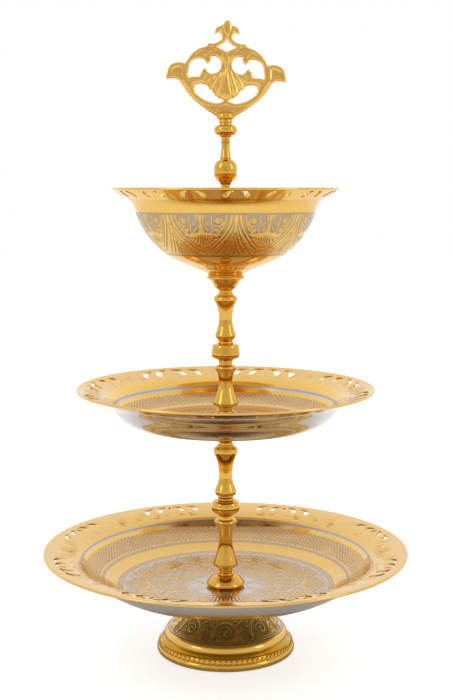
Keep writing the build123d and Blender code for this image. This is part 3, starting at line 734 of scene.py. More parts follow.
def floor_ribbons(k):
    """Engraving of a dish floor for one sixteenth of the round, in mm from the centre with
    the repeat's middle along +y. k scales the whole design."""
    rib = []

    def polar(r, deg):
        return (r * math.sin(math.radians(deg)), r * math.cos(math.radians(deg)))

    # palmette at the edge of the floor, and a smaller one on the repeat's other axis
    for ang, r1, bow in ((0, 84.2, 0), (3.2, 83.8, -0.5), (6.2, 82.2, -0.9), (8.9, 79.4, -1.3), (11.0, 75.8, -1.6), (12.2, 71.6, -1.8)):
        rib.append(stroke((0.16 * ang, 62.5), polar(r1, ang), bow, 2.0, blunt=0.3))
    for ang, r0, r1 in ((0, 66.5, 84.0), (2.7, 67.5, 82.6), (4.9, 69.0, 79.6)):
        rib.append(stroke(polar(r0, 22.5 - 0.4 * ang), polar(r1, 22.5 - ang), 0.5, 1.8, blunt=0.3))
    # great scroll with its leaves
    gx, gy = polar(66.5, 15.2)
    rib.append(spiral(gx, gy, 7.6, 1.4, 250, 1.7, 1, 1.7, 1.2))
    rib.append(dot(gx, gy, 1.5))
    for q in range(11):
        t = math.radians(250 + 30 * q)
        rib.append(stroke((gx + 7.4 * math.cos(t), gy + 7.4 * math.sin(t)), (gx + 10.6 * math.cos(t + 0.35), gy + 10.6 * math.sin(t + 0.35)), 0.7, 1.7))
    # middle ring of smaller scrolls
    hx, hy = polar(52.0, 6.4)
    rib.append(spiral(hx, hy, 5.4, 1.0, 90, 1.6, -1, 1.5, 1.0))
    for q in range(9):
        t = math.radians(70 - 38 * q)
        rib.append(stroke((hx + 5.2 * math.cos(t), hy + 5.2 * math.sin(t)), (hx + 7.9 * math.cos(t - 0.4), hy + 7.9 * math.sin(t - 0.4)), -0.6, 1.5))
    jx, jy = polar(47.5, 17.6)
    rib.append(spiral(jx, jy, 4.2, 0.8, 200, 1.5, 1, 1.35, 0.9))
    for q in range(7):
        t = math.radians(200 + 45 * q)
        rib.append(stroke((jx + 4.0 * math.cos(t), jy + 4.0 * math.sin(t)), (jx + 6.3 * math.cos(t + 0.4), jy + 6.3 * math.sin(t + 0.4)), 0.5, 1.35))
    # leaves that run in to the rosette
    for ang, r0, r1, w in ((0, 32.0, 60.5, 1.9), (5.0, 33.0, 45.5, 1.7), (9.5, 32.0, 43.5, 1.6), (14.0, 33.0, 42.0, 1.7), (18.5, 32.0, 42.5, 1.6), (22.5, 33.0, 58.0, 1.8)):
        rib.append(stroke(polar(r0, ang), polar(r1, ang * 0.96), 0.35, w))
    for ang, r0, r1, bow in ((1.5, 57.0, 62.5, 0.6), (13.0, 56.5, 58.5, 0.8), (19.5, 56.0, 63.0, -0.6), (9.5, 74.0, 78.0, 0.5), (17.0, 78.0, 82.5, 0.6), (13.6, 79.5, 84.0, 0.4)):
        rib.append(stroke(polar(r0, ang - 2.2), polar(r1, ang + 2.4), bow, 1.5))
    return [(P * k, w * k) for P, w in rib]


def rosette(X, Y, k):
    """Eight broad petals: 1 inside a petal, falling to 0 at its edge."""
    yc, L, B = 23.4 * k, 5.8 * k, 5.6 * k
    d = np.hypot(X / B, (Y - yc) / L)
    return np.clip((1 - d) * 6, 0, 1)


def dish_inside(name, body, P, N, marks, k, first, ring_bands, corner=None, floor_r=86.0, span=None, gold=None):
    """Inside of a dish: engraved floor, plated rings and plain gold bands."""
    rows = radial_rows(P if span is None else P[(P[:, 0] >= span[0] - 1e-6) & (P[:, 0] <= span[1] + 1e-6)], marks, 0.62 if N > 400 else 1.1)
    R = rows[:, 0]
    a = 360.0 * np.arange(N) / N
    fa = np.radians(folded(a, first, 45.0))
    X, Y = R[:, None] * np.sin(fa), R[:, None] * np.cos(fa)
    g = np.ones(X.shape)
    fl = (R < floor_r * k) & (R > 15.5 * k)
    pet = np.zeros(X.shape)
    if fl.any():
        g[fl] = coverage(X[fl], Y[fl], floor_ribbons(k), 0.5)
        pet[fl] = rosette(X[fl], Y[fl], k)
        # the flower's eight petals are plain plating; between them lie small gilt leaves
        g[fl] = g[fl] * (1 - pet[fl])
        far = np.hypot(X[fl] - 10.8 * k, Y[fl] - 24.0 * k)
        leaf = np.clip((1 - np.hypot((X[fl] * math.cos(0.3927) - Y[fl] * math.sin(0.3927)) / (1.5 * k), (X[fl] * math.sin(0.3927) + Y[fl] * math.cos(0.3927) - 24.0 * k) / (5.5 * k))) * 5, 0, 1)
        g[fl] = np.maximum(g[fl], leaf)
        ring = np.clip(1.6 - np.abs(R[fl] - 30.4 * k) / 0.35, 0, 1)[:, None]
        g[fl] = np.maximum(g[fl], ring * np.ones_like(g[fl]))
    edge_in = np.clip((R - 15.5 * k) / 0.6, 0, 1)[:, None]
    lift = -0.22 * (1 - g) * np.ones_like(g)
    lift += 0.20 * pet
    for lo, hi in ring_bands:
        band = (R >= lo - 1e-6) & (R <= hi + 1e-6)
        g[band] = 0.0
        lift[band] = 0.0
    lift[0] = lift[-1] = 0
    silver = 1 - g
    V, F = spun(rows, N, lift)
    # rings are plated metal of their own, and so are the petals
    mi = np.zeros(len(F), np.int32)
    k0 = np.repeat(np.arange(len(rows) - 1), N)
    mid = 0.5 * (R[k0] + R[k0 + 1])
    for lo, hi in ring_bands:
        mi[(mid > lo) & (mid < hi)] = 1 if hi - lo > 0.85 else 3
    cov = pet.ravel()[F].min(axis=1)
    mi[cov > 0.5] = 2
    return piece(name, V, F, body, [gold or gold_inlay, nickel, petal_plate, thin_ring], mi=mi, attrs={"inlay_and_painted_shade": silver.ravel()}, corner=corner)


def below(P, t):
    return P - normals2(P) * t


# bottom dish
bd = chain([[(3.2, 54.4), (38.0, 54.4)],
            [(38.0, 54.4), (48.0, 54.42), (60.0, 54.55), (75.0, 54.95), (82.0, 55.6), (87.7, 56.6), (91.8, 57.9),
             (96.5, 60.1), (101.8, 63.0), (107.0, 66.2), (111.5, 69.3), (115.2, 72.5), (117.8, 75.6), (119.8, 78.3)]], 0.6)
bd = np.vstack([bd[:1], eased(bd[1:], 1.6)])
b_rings = [(85.9, 86.7), (88.6, 89.1), (101.2, 101.8), (118.9, 119.8)]
b_marks = [28.5, 85.9, 86.7, 88.6, 89.1, 101.2, 101.8, 103.0, 116.4, 118.9]


def split(P, *cuts):
    """Profile with a point exactly at every cut radius."""
    R = np.unique(np.concatenate([P[:, 0], cuts]))
    return np.stack([R, np.interp(R, P[:, 0], P[:, 1])], 1)


bd = split(bd, 86.7, 103.0, 116.4)
d_floor = dish_inside("bottom_dish_floor", "stand", bd, 720, b_marks, 1.0, 0.0, b_rings, span=(0.0, 86.7))
dish_inside("bottom_dish_wall", "stand", bd, 360, b_marks, 1.0, 0.0, b_rings, span=(86.7, 103.0))
dish_inside("bottom_dish_shoulder", "stand", bd, 360, b_marks, 1.0, 0.0, b_rings, span=(116.4, 119.8), gold=gold_shoulder)
lp = bd[(bd[:, 0] > 102.0) & (bd[:, 0] < 117.4)]
lp = np.stack([np.linspace(103.0, 116.4, 28), np.interp(np.linspace(103.0, 116.4, 28), bd[:, 0], bd[:, 1])], 1)
lattice("bottom_dish_lattice", lp, 156, 5, "stand")
b_under = below(bd, 2.0)
b_under[0] = (3.2, 52.4)
# the rim springs from the wall and flattens outwards
bd_rim = cubic([(119.8, 78.3), (122.0, 80.2), (125.0, 82.0), (129.0, 83.7), (134.0, 85.05), (139.5, 86.05), (144.5, 86.65), (148.4, 86.92)], 0.5)
b_under[-1] = bd_rim[0] - normals2(bd_rim)[0] * 2.0
b_under = b_under[::2] if len(b_under) % 2 else np.vstack([b_under[::2], b_under[-1:]])
V, F = spun(b_under, 300)
painted_shade_near_foot = np.clip((108.0 - b_under[:, 0]) / 2.5, 0, 1)      # painted shade: near the foot, where shade falls under the dish, the plating is painted darker; it is also rougher there
piece("bottom_dish_underside", V, F[:, ::-1], "stand", [under_plate_painted_shade], attrs={"inlay_and_painted_shade": np.repeat(painted_shade_near_foot, 300)}, corner=None)
b_swag = [(29.0, 140.8, 25.2, 130.6, 2.2), (32.4, 139.4, 29.0, 128.8, 2.4), (37.8, 136.0, 33.0, 126.6, 2.2), (41.6, 131.8, 36.0, 124.8, 1.6),
          (3.0, 126.9, 12.0, 124.8, 0.8), (14.0, 125.2, 24.0, 125.8, -0.8), (1.0, 129.4, 5.5, 127.7, 0.4), (20.5, 128.6, 14.5, 127.4, 0.6)]
d_rim = pierced_rim("bottom_dish_rim", "stand", bd_rim, 2.0, BOTTOM_SLOTS, 8, 22.0, 135.4,
                    chased(1.0, 122.8, 15.0, b_swag), [gold_dish])
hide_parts("bottom_dish")

# middle dish
md = chain([[(3.08, 190.7), (36.0, 190.7)],
            [(36.0, 190.7), (52.0, 190.8), (62.0, 191.1), (69.0, 191.9), (74.0, 193.0), (78.5, 194.9), (83.0, 197.7),
             (86.8, 201.2), (89.6, 204.9), (92.0, 208.6), (94.6, 211.4), (98.6, 214.3)]], 0.6)
md = np.vstack([md[:1], eased(md[1:], 1.2)])
m_rings = [(60.0, 60.7), (63.0, 63.6), (73.6, 74.1), (90.5, 91.4)]
m_marks = [28.5 * 0.69, 60.0, 60.7, 63.0, 63.6, 73.6, 74.1, 77.0, 88.0, 90.5, 91.4]
md = split(md, 63.6, 77.0, 88.0)
m_floor = dish_inside("middle_dish_floor", "middle_tier", md, 720, m_marks, 0.69, 4.0, m_rings, span=(0.0, 63.6))
dish_inside("middle_dish_wall", "middle_tier", md, 300, m_marks, 0.69, 4.0, m_rings, span=(63.6, 77.0))
dish_inside("middle_dish_shoulder", "middle_tier", md, 300, m_marks, 0.69, 4.0, m_rings, span=(88.0, 98.6), gold=gold_shoulder)
lr = np.linspace(77.0, 88.0, 26)
lattice("middle_dish_lattice", np.stack([lr, np.interp(lr, md[:, 0], md[:, 1])], 1), 120, 4, "middle_tier")
m_under = below(md, 2.0)
m_under[0] = (3.08, 188.7)
m_under[-1] = (99.2, 212.4)
V, F = spun(m_under[::2] if len(m_under) % 2 else np.vstack([m_under[::2], m_under[-1:]]), 300)
piece("middle_dish_underside", V, F[:, ::-1], "middle_tier", [under_middle], corner=None)
m_swag = [(30.6, 114.0, 27.5, 104.0, 2.0), (34.0, 112.0, 31.0, 102.5, 2.0), (38.0, 108.5, 34.0, 100.8, 1.6),
          (2.0, 101.2, 10.0, 100.4, 0.5), (12.0, 100.6, 21.0, 100.9, -0.5)]
m_rim = pierced_rim("middle_dish_rim", "middle_tier", np.array([(98.6, 214.3), (119.74, 221.12)]), 2.0, MIDDLE_SLOTS, 8, 26.4, 109.0,
                    chased(0.8, 101.5, 13.0, m_swag), [gold_dish], gap=0.72, lip=1.35)
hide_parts("middle_dish")

# ------------------------------------------------------------------ column


def bell(z):
    return [[(13.6, z), (14.7, z + 0.7)],
            [(14.7, z + 0.7), (15.6, z + 1.5), (15.85, z + 2.3), (15.6, z + 3.1), (14.9, z + 4.0)],
            [(14.9, z + 4.0), (12.9, z + 6.2), (10.4, z + 8.2), (8.4, z + 9.4), (7.1, z + 9.8)],
            [(7.1, z + 9.8), (7.5, z + 10.5), (7.0, z + 11.2), (5.8, z + 11.6)]]


def cup(z):
    return [[(5.5, z), (5.7, z + 0.8), (6.3, z + 1.4), (7.4, z + 2.1)],
            [(7.4, z + 2.1), (8.5, z + 3.1), (9.5, z + 4.5), (10.4, z + 6.4), (11.4, z + 8.0), (12.6, z + 9.2), (13.9, z + 10.0)],
            [(13.9, z + 10.0), (15.1, z + 10.7), (15.3, z + 11.7), (14.8, z + 12.6)],
            [(14.8, z + 12.6), (14.0, z + 13.0)], [(14.0, z + 13.0), (14.0, z + 13.4)], [(14.0, z + 13.4), (14.7, z + 13.8)]]


TURNED = {
    "lower_bell": bell(54.4),
    "lower_baluster": [
        [(5.6, 66.0), (5.5, 69.4)], [(5.5, 69.4), (7.4, 70.0), (9.2, 70.9), (10.3, 72.4), (10.2, 73.8)],
        [(10.2, 73.8), (9.0, 77.4), (7.7, 81.2), (6.7, 84.6), (6.0, 88.0), (5.65, 92.0), (5.7, 95.6), (6.1, 99.0),
         (7.0, 102.2), (7.9, 104.8), (8.6, 106.6)],
        [(8.6, 106.6), (9.2, 107.8), (9.2, 109.2), (8.4, 110.4), (7.0, 110.9)],
        [(7.0, 110.9), (5.7, 111.1)], [(5.7, 111.1), (5.6, 112.2)]],
    "lower_collar": [
        [(6.0, 112.2), (5.8, 113.6)], [(5.8, 113.6), (6.8, 114.5), (9.0, 116.0), (10.8, 117.8)],
        [(10.8, 117.8), (11.6, 119.8), (11.8, 121.6), (11.6, 123.4), (11.1, 125.0)],
        [(11.1, 125.0), (10.0, 126.2), (8.2, 126.7), (6.4, 126.8)]],
    "lower_vase": [
        [(6.1, 126.8), (6.7, 127.4), (6.7, 128.4), (6.1, 129.0)], [(6.1, 129.0), (6.2, 129.8)],
        [(6.2, 129.8), (6.9, 130.2), (6.9, 131.0)], [(6.9, 131.0), (7.9, 131.6), (8.6, 132.6), (9.0, 134.0), (8.9, 135.4)],
        [(8.9, 135.4), (8.1, 137.4), (7.2, 139.4), (6.4, 142.0), (5.8, 144.8), (5.55, 147.8), (5.75, 151.0), (6.2, 154.2),
         (6.7, 157.4), (7.4, 160.4), (8.4, 163.2), (9.3, 165.4)],
        [(9.3, 165.4), (10.0, 166.8), (10.1, 168.6), (9.7, 170.4)], [(9.7, 170.4), (8.2, 171.6), (6.8, 172.2)],
        [(6.8, 172.2), (7.0, 172.8), (6.6, 173.6), (5.8, 174.0)], [(5.8, 174.0), (5.8, 174.9)]],
    "lower_cup": cup(174.9),
    "upper_bell": bell(190.7),
    "upper_baluster": [
        [(5.6, 202.3), (5.5, 204.4)], [(5.5, 204.4), (7.2, 205.0), (9.1, 205.9), (10.3, 207.2), (10.3, 208.5)],
        [(10.3, 208.5), (9.2, 211.4), (7.9, 214.8), (6.8, 218.2), (6.0, 221.6), (5.6, 224.8), (5.6, 227.8), (6.0, 230.6),
         (6.8, 233.0), (7.7, 235.0)],
        [(7.7, 235.0), (8.7, 236.2), (8.8, 237.4), (8.2, 238.5), (6.9, 239.2)],
        [(6.9, 239.2), (5.7, 239.6)], [(5.7, 239.6), (5.6, 241.0)]],
    "upper_collar": [
        [(5.9, 241.0), (5.7, 242.8)], [(5.7, 242.8), (6.6, 243.8), (8.6, 244.8), (10.4, 245.6), (11.4, 246.8)],
        [(11.4, 246.8), (11.7, 248.2), (11.4, 251.4), (11.0, 254.4)], [(11.0, 254.4), (10.4, 255.9), (8.8, 256.6), (6.2, 256.8)]],
    "upper_vase": [
        [(6.0, 256.8), (6.4, 257.6), (6.3, 258.4), (5.8, 258.9)], [(5.8, 258.9), (6.0, 259.9)],
        [(6.0, 259.9), (6.7, 260.4), (7.3, 261.4)], [(7.3, 261.4), (8.2, 262.4), (8.6, 263.6), (8.3, 264.8)],
        [(8.3, 264.8), (7.6, 266.6), (6.8, 268.8), (6.1, 271.4), (5.7, 274.4), (5.55, 277.6), (5.7, 280.6), (6.2, 283.6),
         (6.9, 286.6), (7.8, 289.0), (8.7, 290.8)],
        [(8.7, 290.8), (9.5, 292.2), (9.6, 293.9), (9.0, 295.2)], [(9.0, 295.2), (7.6, 296.2), (6.4, 296.8)],
        [(6.4, 296.8), (6.4, 297.4), (5.7, 298.2)], [(5.7, 298.2), (5.6, 299.2)]],
    "upper_cup": cup(299.2),
}
for key, runs in TURNED.items():
    ob = lathe("turned_" + key, runs, "stand", gold_turned, bore=3.2)
    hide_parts(key)

# ------------------------------------------------------------------ bowl
bowl_out = eased(cubic([(14.6, 313.0), (16.6, 314.6), (21.2, 316.4), (28.7, 319.6), (36.6, 322.9), (42.6, 325.9),
                        (47.4, 328.9), (52.1, 332.6), (57.2, 337.6), (61.3, 342.6), (64.7, 347.6), (67.6, 352.6),
                        (69.9, 357.4), (71.6, 361.6), (72.7, 365.0), (74.0, 368.4), (75.6, 370.9), (77.6, 373.0)], 0.6), 1.6)
BOWL_N = 900
BOWL_FIRST = 6.3 + 22.8


def bowl_ornament(P, N):
    """Eight U-shaped medallions with scrolls and leaves, fan lines between them."""
    s = arc(P)
    zz = P[:, 1]
    R = P[:, 0]
    a = 360.0 * np.arange(N) / N
    da = folded(a, BOWL_FIRST, 45.0)
    X = np.radians(da)[None, :] * R[:, None]
    Y = np.repeat(s[:, None], N, 1)

    def pt(deg, z):
        return (math.radians(deg) * float(np.interp(z, zz, R)), float(np.interp(z, zz, s)))

    def run(pts, w):
        return line([pt(d, z) for d, z in pts], w)

    U = [(20.9, 362.6), (20.7, 358.0), (19.6, 353.2), (16.6, 346.7), (12.4, 341.2), (7.6, 336.8), (3.6, 334.4), (0.0, 333.8)]
    u = np.array([pt(*q) for q in U])
    edge_x = np.interp(Y, u[::-1, 1], u[::-1, 0], left=-1)
    in_u = (X < edge_x) & (Y > u[-1, 1]) & (Y < u[0, 1])
    # plated lines round each medallion, gilt between them
    cuts = [run(U, 1.0)]
    cuts.append(run([(18.5, 362.6), (18.3, 358.0), (17.3, 353.6), (14.5, 347.7), (10.8, 343.0), (6.6, 339.2), (3.0, 337.2), (0.0, 336.8)], 0.62))
    # the fan of lines between two medallions, sweeping out to the lower edge
    cuts.append(run([(21.6, 356.0), (20.9, 350.2), (18.3, 343.4), (14.4, 337.6), (9.6, 333.4), (6.2, 331.8)], 0.5))
    cuts.append(run([(22.1, 348.0), (21.4, 344.6), (19.0, 338.9), (15.6, 334.4), (12.4, 331.8)], 0.5))
    cuts.append(run([(22.4, 341.6), (21.6, 338.4), (19.6, 334.4), (17.4, 331.8)], 0.5))
    cuts.append(stroke(pt(22.5, 337.4), pt(21.3, 331.6), 0.3, 0.7))
    # plated ground behind the scrolls, in the upper half of the medallion
    dome = np.interp(X, [0.0, 6.0, 12.0, 18.0, 24.0, 30.0], [pt(0, 348.6)[1], pt(0, 348.0)[1], pt(0, 347.0)[1], pt(0, 347.6)[1], pt(0, 351.0)[1], pt(0, 354.0)[1]])
    ground = in_u & (X < edge_x - 3.9) & (Y > dome)
    rib = []
    # a flame-shaped stem: broad above, waisted, broad again
    stem = [pt(0, 362.6), pt(0, 359.5), pt(0, 356.5), pt(0, 353.6), pt(0, 351.0), pt(0, 348.4)]
    rib.append((np.array(stem), np.array([9.6, 7.0, 4.4, 2.6, 3.4, 5.0])))
    rib.append(stroke(pt(2.2, 357.4), pt(5.0, 353.0), 0.9, 1.9))
    rib.append(stroke(pt(1.2, 352.4), pt(4.8, 348.6), 0.7, 1.9))
    # two round scrolls to each side, each with a ball at its heart
    c1, c2 = pt(11.6, 356.9), pt(10.7, 350.4)
    rib.append(spiral(c1[0], c1[1], 3.9, 1.7, -95, 0.95, 1, 1.7, 1.2))
    rib.append(dot(c1[0] - 0.2, c1[1], 1.9))
    rib.append(spiral(c2[0], c2[1], 3.4, 1.5, 95, 0.95, -1, 1.7, 1.2))
    rib.append(dot(c2[0] - 0.2, c2[1], 1.75))
    rib.append(run([(6.9, 362.6), (7.4, 358.6), (6.9, 354.0), (7.4, 349.6), (6.0, 347.0)], 1.5))
    rib.append(run([(16.6, 362.6), (16.2, 358.0), (14.9, 353.6), (12.9, 349.4), (9.6, 346.8), (5.6, 346.4)], 1.7))
    rib.append(stroke(pt(9.2, 362.4), pt(14.9, 361.4), 0.9, 1.7))
    rib.append(stroke(pt(14.9, 355.0), pt(13.6, 360.2), 0.3, 1.2))
    # plated veins and outlines on the gilt lower half: a fan of petals
    veins = []
    for d0, z0, d1, z1, bow in ((0.0, 346.6, 0.0, 339.2, 0.0), (1.6, 346.2, 2.6, 339.4, -0.5), (3.4, 345.4, 5.2, 340.0, -0.7),
                                (5.4, 344.8, 8.0, 341.4, -0.8)):
        veins.append(stroke(pt(d0, z0), pt(d1, z1), bow, 0.85))
    veins.append(run([(16.0, 350.6), (13.8, 346.9), (10.8, 344.6), (7.6, 343.6)], 0.55))
    veins.append(stroke(pt(1.5, 362.2), pt(0.5, 355.0), 0.2, 0.5))
    gilt = coverage(X, Y, rib, 0.45)
    band = ((zz > 330.9) & (zz < 362.8))[:, None]
    silver = np.where(ground, np.maximum(1 - gilt, 0.12), 0.0)
    silver = np.maximum(silver, np.maximum(coverage(X, Y, cuts, 0.38), coverage(X, Y, veins, 0.38)))
    silver = silver * band
    top = np.clip(1.7 - np.abs(zz - 362.8) / 0.5, 0, 1)
    low = np.clip(1.7 - np.abs(zz - 330.5) / 0.6, 0, 1)
    return np.clip(np.maximum(silver, np.maximum(top, low)[:, None]), 0, 1)


# rows are denser in the engraved band
s_all = arc(bowl_out)
z_of = bowl_out[:, 1]
s_lo, s_hi = np.interp(329.2, z_of, s_all), np.interp(364.0, z_of, s_all)
srow = np.concatenate([np.arange(0, s_lo, 1.6), np.arange(s_lo, s_hi, 0.58), np.linspace(s_hi, s_all[-1], 12)])
bp = np.stack([np.interp(srow, s_all, bowl_out[:, 0]), np.interp(srow, s_all, z_of)], 1)
silver = bowl_ornament(bp, BOWL_N)
H = 0.24 * silver      # the cuts lie below the surface: this profile's left is inwards
V, F = spun(bp, BOWL_N, H)
b_out = piece("bowl_outside", V, F, "top_tier", [bowl_inlay], attrs={"inlay_and_painted_shade": silver.ravel()}, corner=None)
b_in = below(bowl_out, -1.8)
b_in = b_in[b_in[:, 1] > 315.4]
b_in = np.vstack([[3.08, 314.8], [12.0, 314.8], b_in])
b_in[-1] = (76.7, 374.6)
V, F = spun(b_in, 300)
# the inside wears the brighter gilt copy: painted light
piece("bowl_inside", V, F, "top_tier", [gold_inside_painted_light], corner=None)
V, F = spun(np.array([(3.08, 314.8), (3.08, 313.0), (14.6, 313.0)]), 120)
piece("bowl_seat", V, F, "top_tier", [gold_bowl], corner=30)


def bowl_chase(x, y, W):
    ax = np.abs(x)
    rib = [stroke((W, 79.5), (W, 86.5), 0, 1.0), stroke((2.5, 79.5), (1.0, 83.5), 0.3, 0.9)]
    return -0.2 * coverage(ax, y, rib, 0.6)


b_rim = pierced_rim("bowl_rim", "top_tier", np.array([(76.7, 374.6), (89.42, 382.14)]), 1.8, BOWL_SLOTS, 16, 5.6, 84.0,
                    bowl_chase, [gold_bowl], gap=0.75, lip=1.1)
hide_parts("bowl")

# ------------------------------------------------------------------ finial
Z0 = 316.3
FINIAL = {
    "finial_stem": [
        [(10.6, Z0), (12.0, Z0 + 0.5), (12.4, Z0 + 1.7), (11.6, Z0 + 3.0)],
        [(11.6, Z0 + 3.0), (9.4, Z0 + 5.4), (7.2, Z0 + 7.6), (6.0, Z0 + 8.8)],
        [(6.0, Z0 + 8.8), (6.5, Z0 + 9.6), (6.0, Z0 + 10.6), (5.2, Z0 + 11.0)], [(5.2, Z0 + 11.0), (5.2, Z0 + 12.6)],
        [(5.2, Z0 + 12.6), (6.8, Z0 + 14.6), (7.8, Z0 + 18.6), (7.4, Z0 + 23.0), (6.4, Z0 + 30.0), (5.5, Z0 + 38.0),
         (4.9, Z0 + 46.0), (4.8, Z0 + 50.0)],
        [(4.8, Z0 + 50.0), (5.6, Z0 + 51.0), (6.6, Z0 + 52.8), (6.7, Z0 + 54.6), (5.9, Z0 + 56.2)],
        [(5.9, Z0 + 56.2), (4.6, Z0 + 57.4), (3.9, Z0 + 60.0), (3.6, Z0 + 64.0), (3.5, Z0 + 68.3)]],
    "finial_ball": [
        [(3.7, 384.6), (4.3, 385.4), (4.5, 386.4)],
        [(4.5, 386.4), (6.0, 388.0), (7.8, 390.0), (8.8, 392.0), (9.15, 394.4), (9.15, 397.4), (8.9, 399.6), (8.0, 401.8),
         (6.2, 403.7), (4.4, 404.7)], [(4.4, 404.7), (4.3, 405.2)]],
    "finial_neck": [
        [(4.3, 405.2), (4.5, 406.0), (4.1, 406.9)], [(4.1, 406.9), (3.7, 410.0), (3.35, 414.0), (3.3, 417.6)],
        [(3.3, 417.6), (3.8, 418.2), (3.8, 418.9), (3.4, 419.4)], [(3.4, 419.4), (3.5, 422.2)]],
    "finial_collar": [
        [(4.4, 422.2), (5.0, 422.8), (4.8, 423.6)],
        [(4.8, 423.6), (7.4, 424.2), (8.7, 425.6), (9.1, 427.4), (8.9, 429.0), (8.0, 430.6), (6.6, 431.5), (5.0, 431.9)],
        [(5.0, 431.9), (4.8, 433.0)], [(4.8, 433.0), (5.3, 433.6), (5.4, 434.8), (5.2, 436.0)]],
}
for key, runs in FINIAL.items():
    ob = lathe("turned_" + key, runs, "finial", gold_turned, N=96)
    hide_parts(key)

# ------------------------------------------------------------------ handle
outline = [(0.0, 513.0), (2.7, 510.7), (4.0, 508.8), (6.1, 508.1), (8.4, 506.6), (9.5, 504.3), (9.5, 501.8), (7.0, 503.2),
           (4.9, 502.2), (4.2, 499.8), (5.1, 497.4), (7.3, 495.7), (10.2, 494.7), (13.1, 494.5), (15.0, 494.6), (15.6, 493.0),
           (20.0, 491.1), (24.1, 489.0), (27.3, 486.4), (29.9, 483.6), (31.9, 480.6), (33.1, 478.6), (36.3, 479.2),
           (40.5, 478.9), (44.0, 477.3), (46.2, 474.8), (47.0, 472.0), (47.6, 468.9), (47.2, 465.9), (44.3, 466.8),
           (41.0, 466.9), (38.2, 465.9), (35.9, 463.8), (34.0, 460.8), (32.2, 458.0), (29.5, 454.7), (25.3, 450.6),
           (19.8, 446.5), (14.7, 443.0), (9.5, 439.8), (6.0, 437.6)]
diamond = [(0.0, 498.4), (1.8, 496.0), (4.2, 494.1), (7.8, 491.8), (5.5, 490.9), (2.5, 489.6), (0.0, 488.2)]
upper_hole = [(30.1, 473.4), (29.6, 476.8), (27.6, 480.6), (25.0, 482.2), (20.8, 483.0), (18.0, 482.0), (16.4, 480.0),
              (14.9, 478.7), (13.3, 480.4), (12.6, 482.5), (12.4, 484.4), (10.4, 485.0), (7.5, 484.2), (5.3, 482.2),
              (4.0, 479.3), (4.5, 475.7), (6.4, 473.1), (9.3, 471.6), (11.9, 471.1), (14.5, 472.4), (16.1, 474.4),
              (17.5, 475.5), (19.4, 473.4), (20.7, 471.1), (21.4, 468.8), (24.0, 468.5), (26.7, 468.6), (29.5, 467.8),
              (30.4, 470.2)]
lower_hole = [(24.6, 461.9), (22.5, 463.0), (20.1, 463.4), (17.4, 462.8), (14.6, 461.6), (13.4, 459.4), (10.9, 458.2),
              (9.7, 455.6), (7.5, 453.7), (4.8, 452.2), (2.4, 451.4), (2.5, 450.0), (4.9, 448.8), (8.4, 448.4), (12.8, 449.2),
              (17.2, 450.9), (20.7, 452.9), (23.5, 455.6), (24.9, 458.3), (25.2, 460.5)]


def rounded(loop, corner=50.0, step=0.9, closed=True):
    """Smooth closed outline that keeps its real corners."""
    L = np.array(loop, float)
    n = len(L)
    keep = []
    for i in range(n):
        a, b, c = L[i - 1], L[i], L[(i + 1) % n]
        u, v = b - a, c - b
        turn = abs(math.degrees(math.atan2(u[0] * v[1] - u[1] * v[0], u @ v)))
        if turn > corner:
            keep.append(i)
    if not keep:
        ext = np.vstack([L[-3:], L, L[:3]])
        C = cubic(ext, step)
        s0 = np.argmin(np.hypot(*(C - L[0]).T))
        s1 = len(C) - 1 - np.argmin(np.hypot(*(C[::-1] - L[0]).T)) if False else None
        # walk until the start is met again
        d = np.hypot(*(C - L[0]).T)
        half = len(C) // 2
        s1 = half + int(np.argmin(d[half:]))
        return C[s0:s1]
    out = []
    for k, i in enumerate(keep):
        j = keep[(k + 1) % len(keep)]
        run = [L[(i + m) % n] for m in range(((j - i) % n or n) + 1)]
        out.append(cubic(run, step)[:-1])
    return np.vstack(out)


half = outline
full = half + [(-x, z) for x, z in reversed(half) if x > 1e-6]
dia = diamond + [(-x, z) for x, z in reversed(diamond) if x > 1e-6]
hloops = [rounded(dia)]
for lp_ in (upper_hole, lower_hole):
    r_ = rounded(lp_)
    hloops += [r_, (r_ * [-1, 1])[::-1]]
outer = rounded(full)


def plate_cdt(outer, loops, gap):
    rings = [outer] + loops
    pts, edges, idx = [], [], []
    for loop in rings:
        start = len(pts)
        pts += [tuple(p) for p in loop]
        n = len(loop)
        edges += [(start + i, start + (i + 1) % n) for i in range(n)]
        idx.append(list(range(start, start + n)))
    lo, hi = outer.min(0), outer.max(0)
    G = np.array([(x + (gap / 2 if k % 2 else 0), y) for k, y in enumerate(np.arange(lo[1], hi[1], gap * 0.87))
                  for x in np.arange(lo[0], hi[0], gap)])
    keep = inside(G, outer)
    for loop in rings:
        if loop is not outer:
            keep &= ~inside(G, loop)
        keep &= edge_distance(G, loop) > gap * 0.5
    pts += [tuple(p) for p in G[keep]]
    out = delaunay_2d_cdt([Vector(p) for p in pts], edges, [], 0, 1e-7)
    Q = np.array([(v[0], v[1]) for v in out[0]])
    where = {}
    for new, olds in enumerate(out[3]):
        for o in olds:
            where[o] = new
    T = np.array([f for f in out[2] if len(f) == 3])
    c = Q[T].mean(1)
    ok = inside(c, outer)
    for loop in loops:
        ok &= ~inside(c, loop)
    T = T[ok]
    A = Q[T]
    area = (A[:, 1, 0] - A[:, 0, 0]) * (A[:, 2, 1] - A[:, 0, 1]) - (A[:, 1, 1] - A[:, 0, 1]) * (A[:, 2, 0] - A[:, 0, 0])
    T[area < 0] = T[area < 0][:, ::-1]
    return Q, T, [[where[i] for i in loop] for loop in idx]


Q, T, rings = plate_cdt(outer, hloops, 0.5)
dist = np.full(len(Q), 1e9)
for loop in [outer] + hloops:
    dist = np.minimum(dist, edge_distance(Q, loop))
HT = 4.6
# cross-section: bars are rounded over, with a soft crown
u = np.clip(dist / 4.6, 0, 1)
thick = 0.95 + (HT / 2 - 0.95) * (0.55 * np.sqrt(np.clip(1 - (1 - u) ** 2, 0, 1)) + 0.45 * np.clip(dist / 4.2, 0, 1) ** 0.85)
qx, qz = np.abs(Q[:, 0]), Q[:, 1]


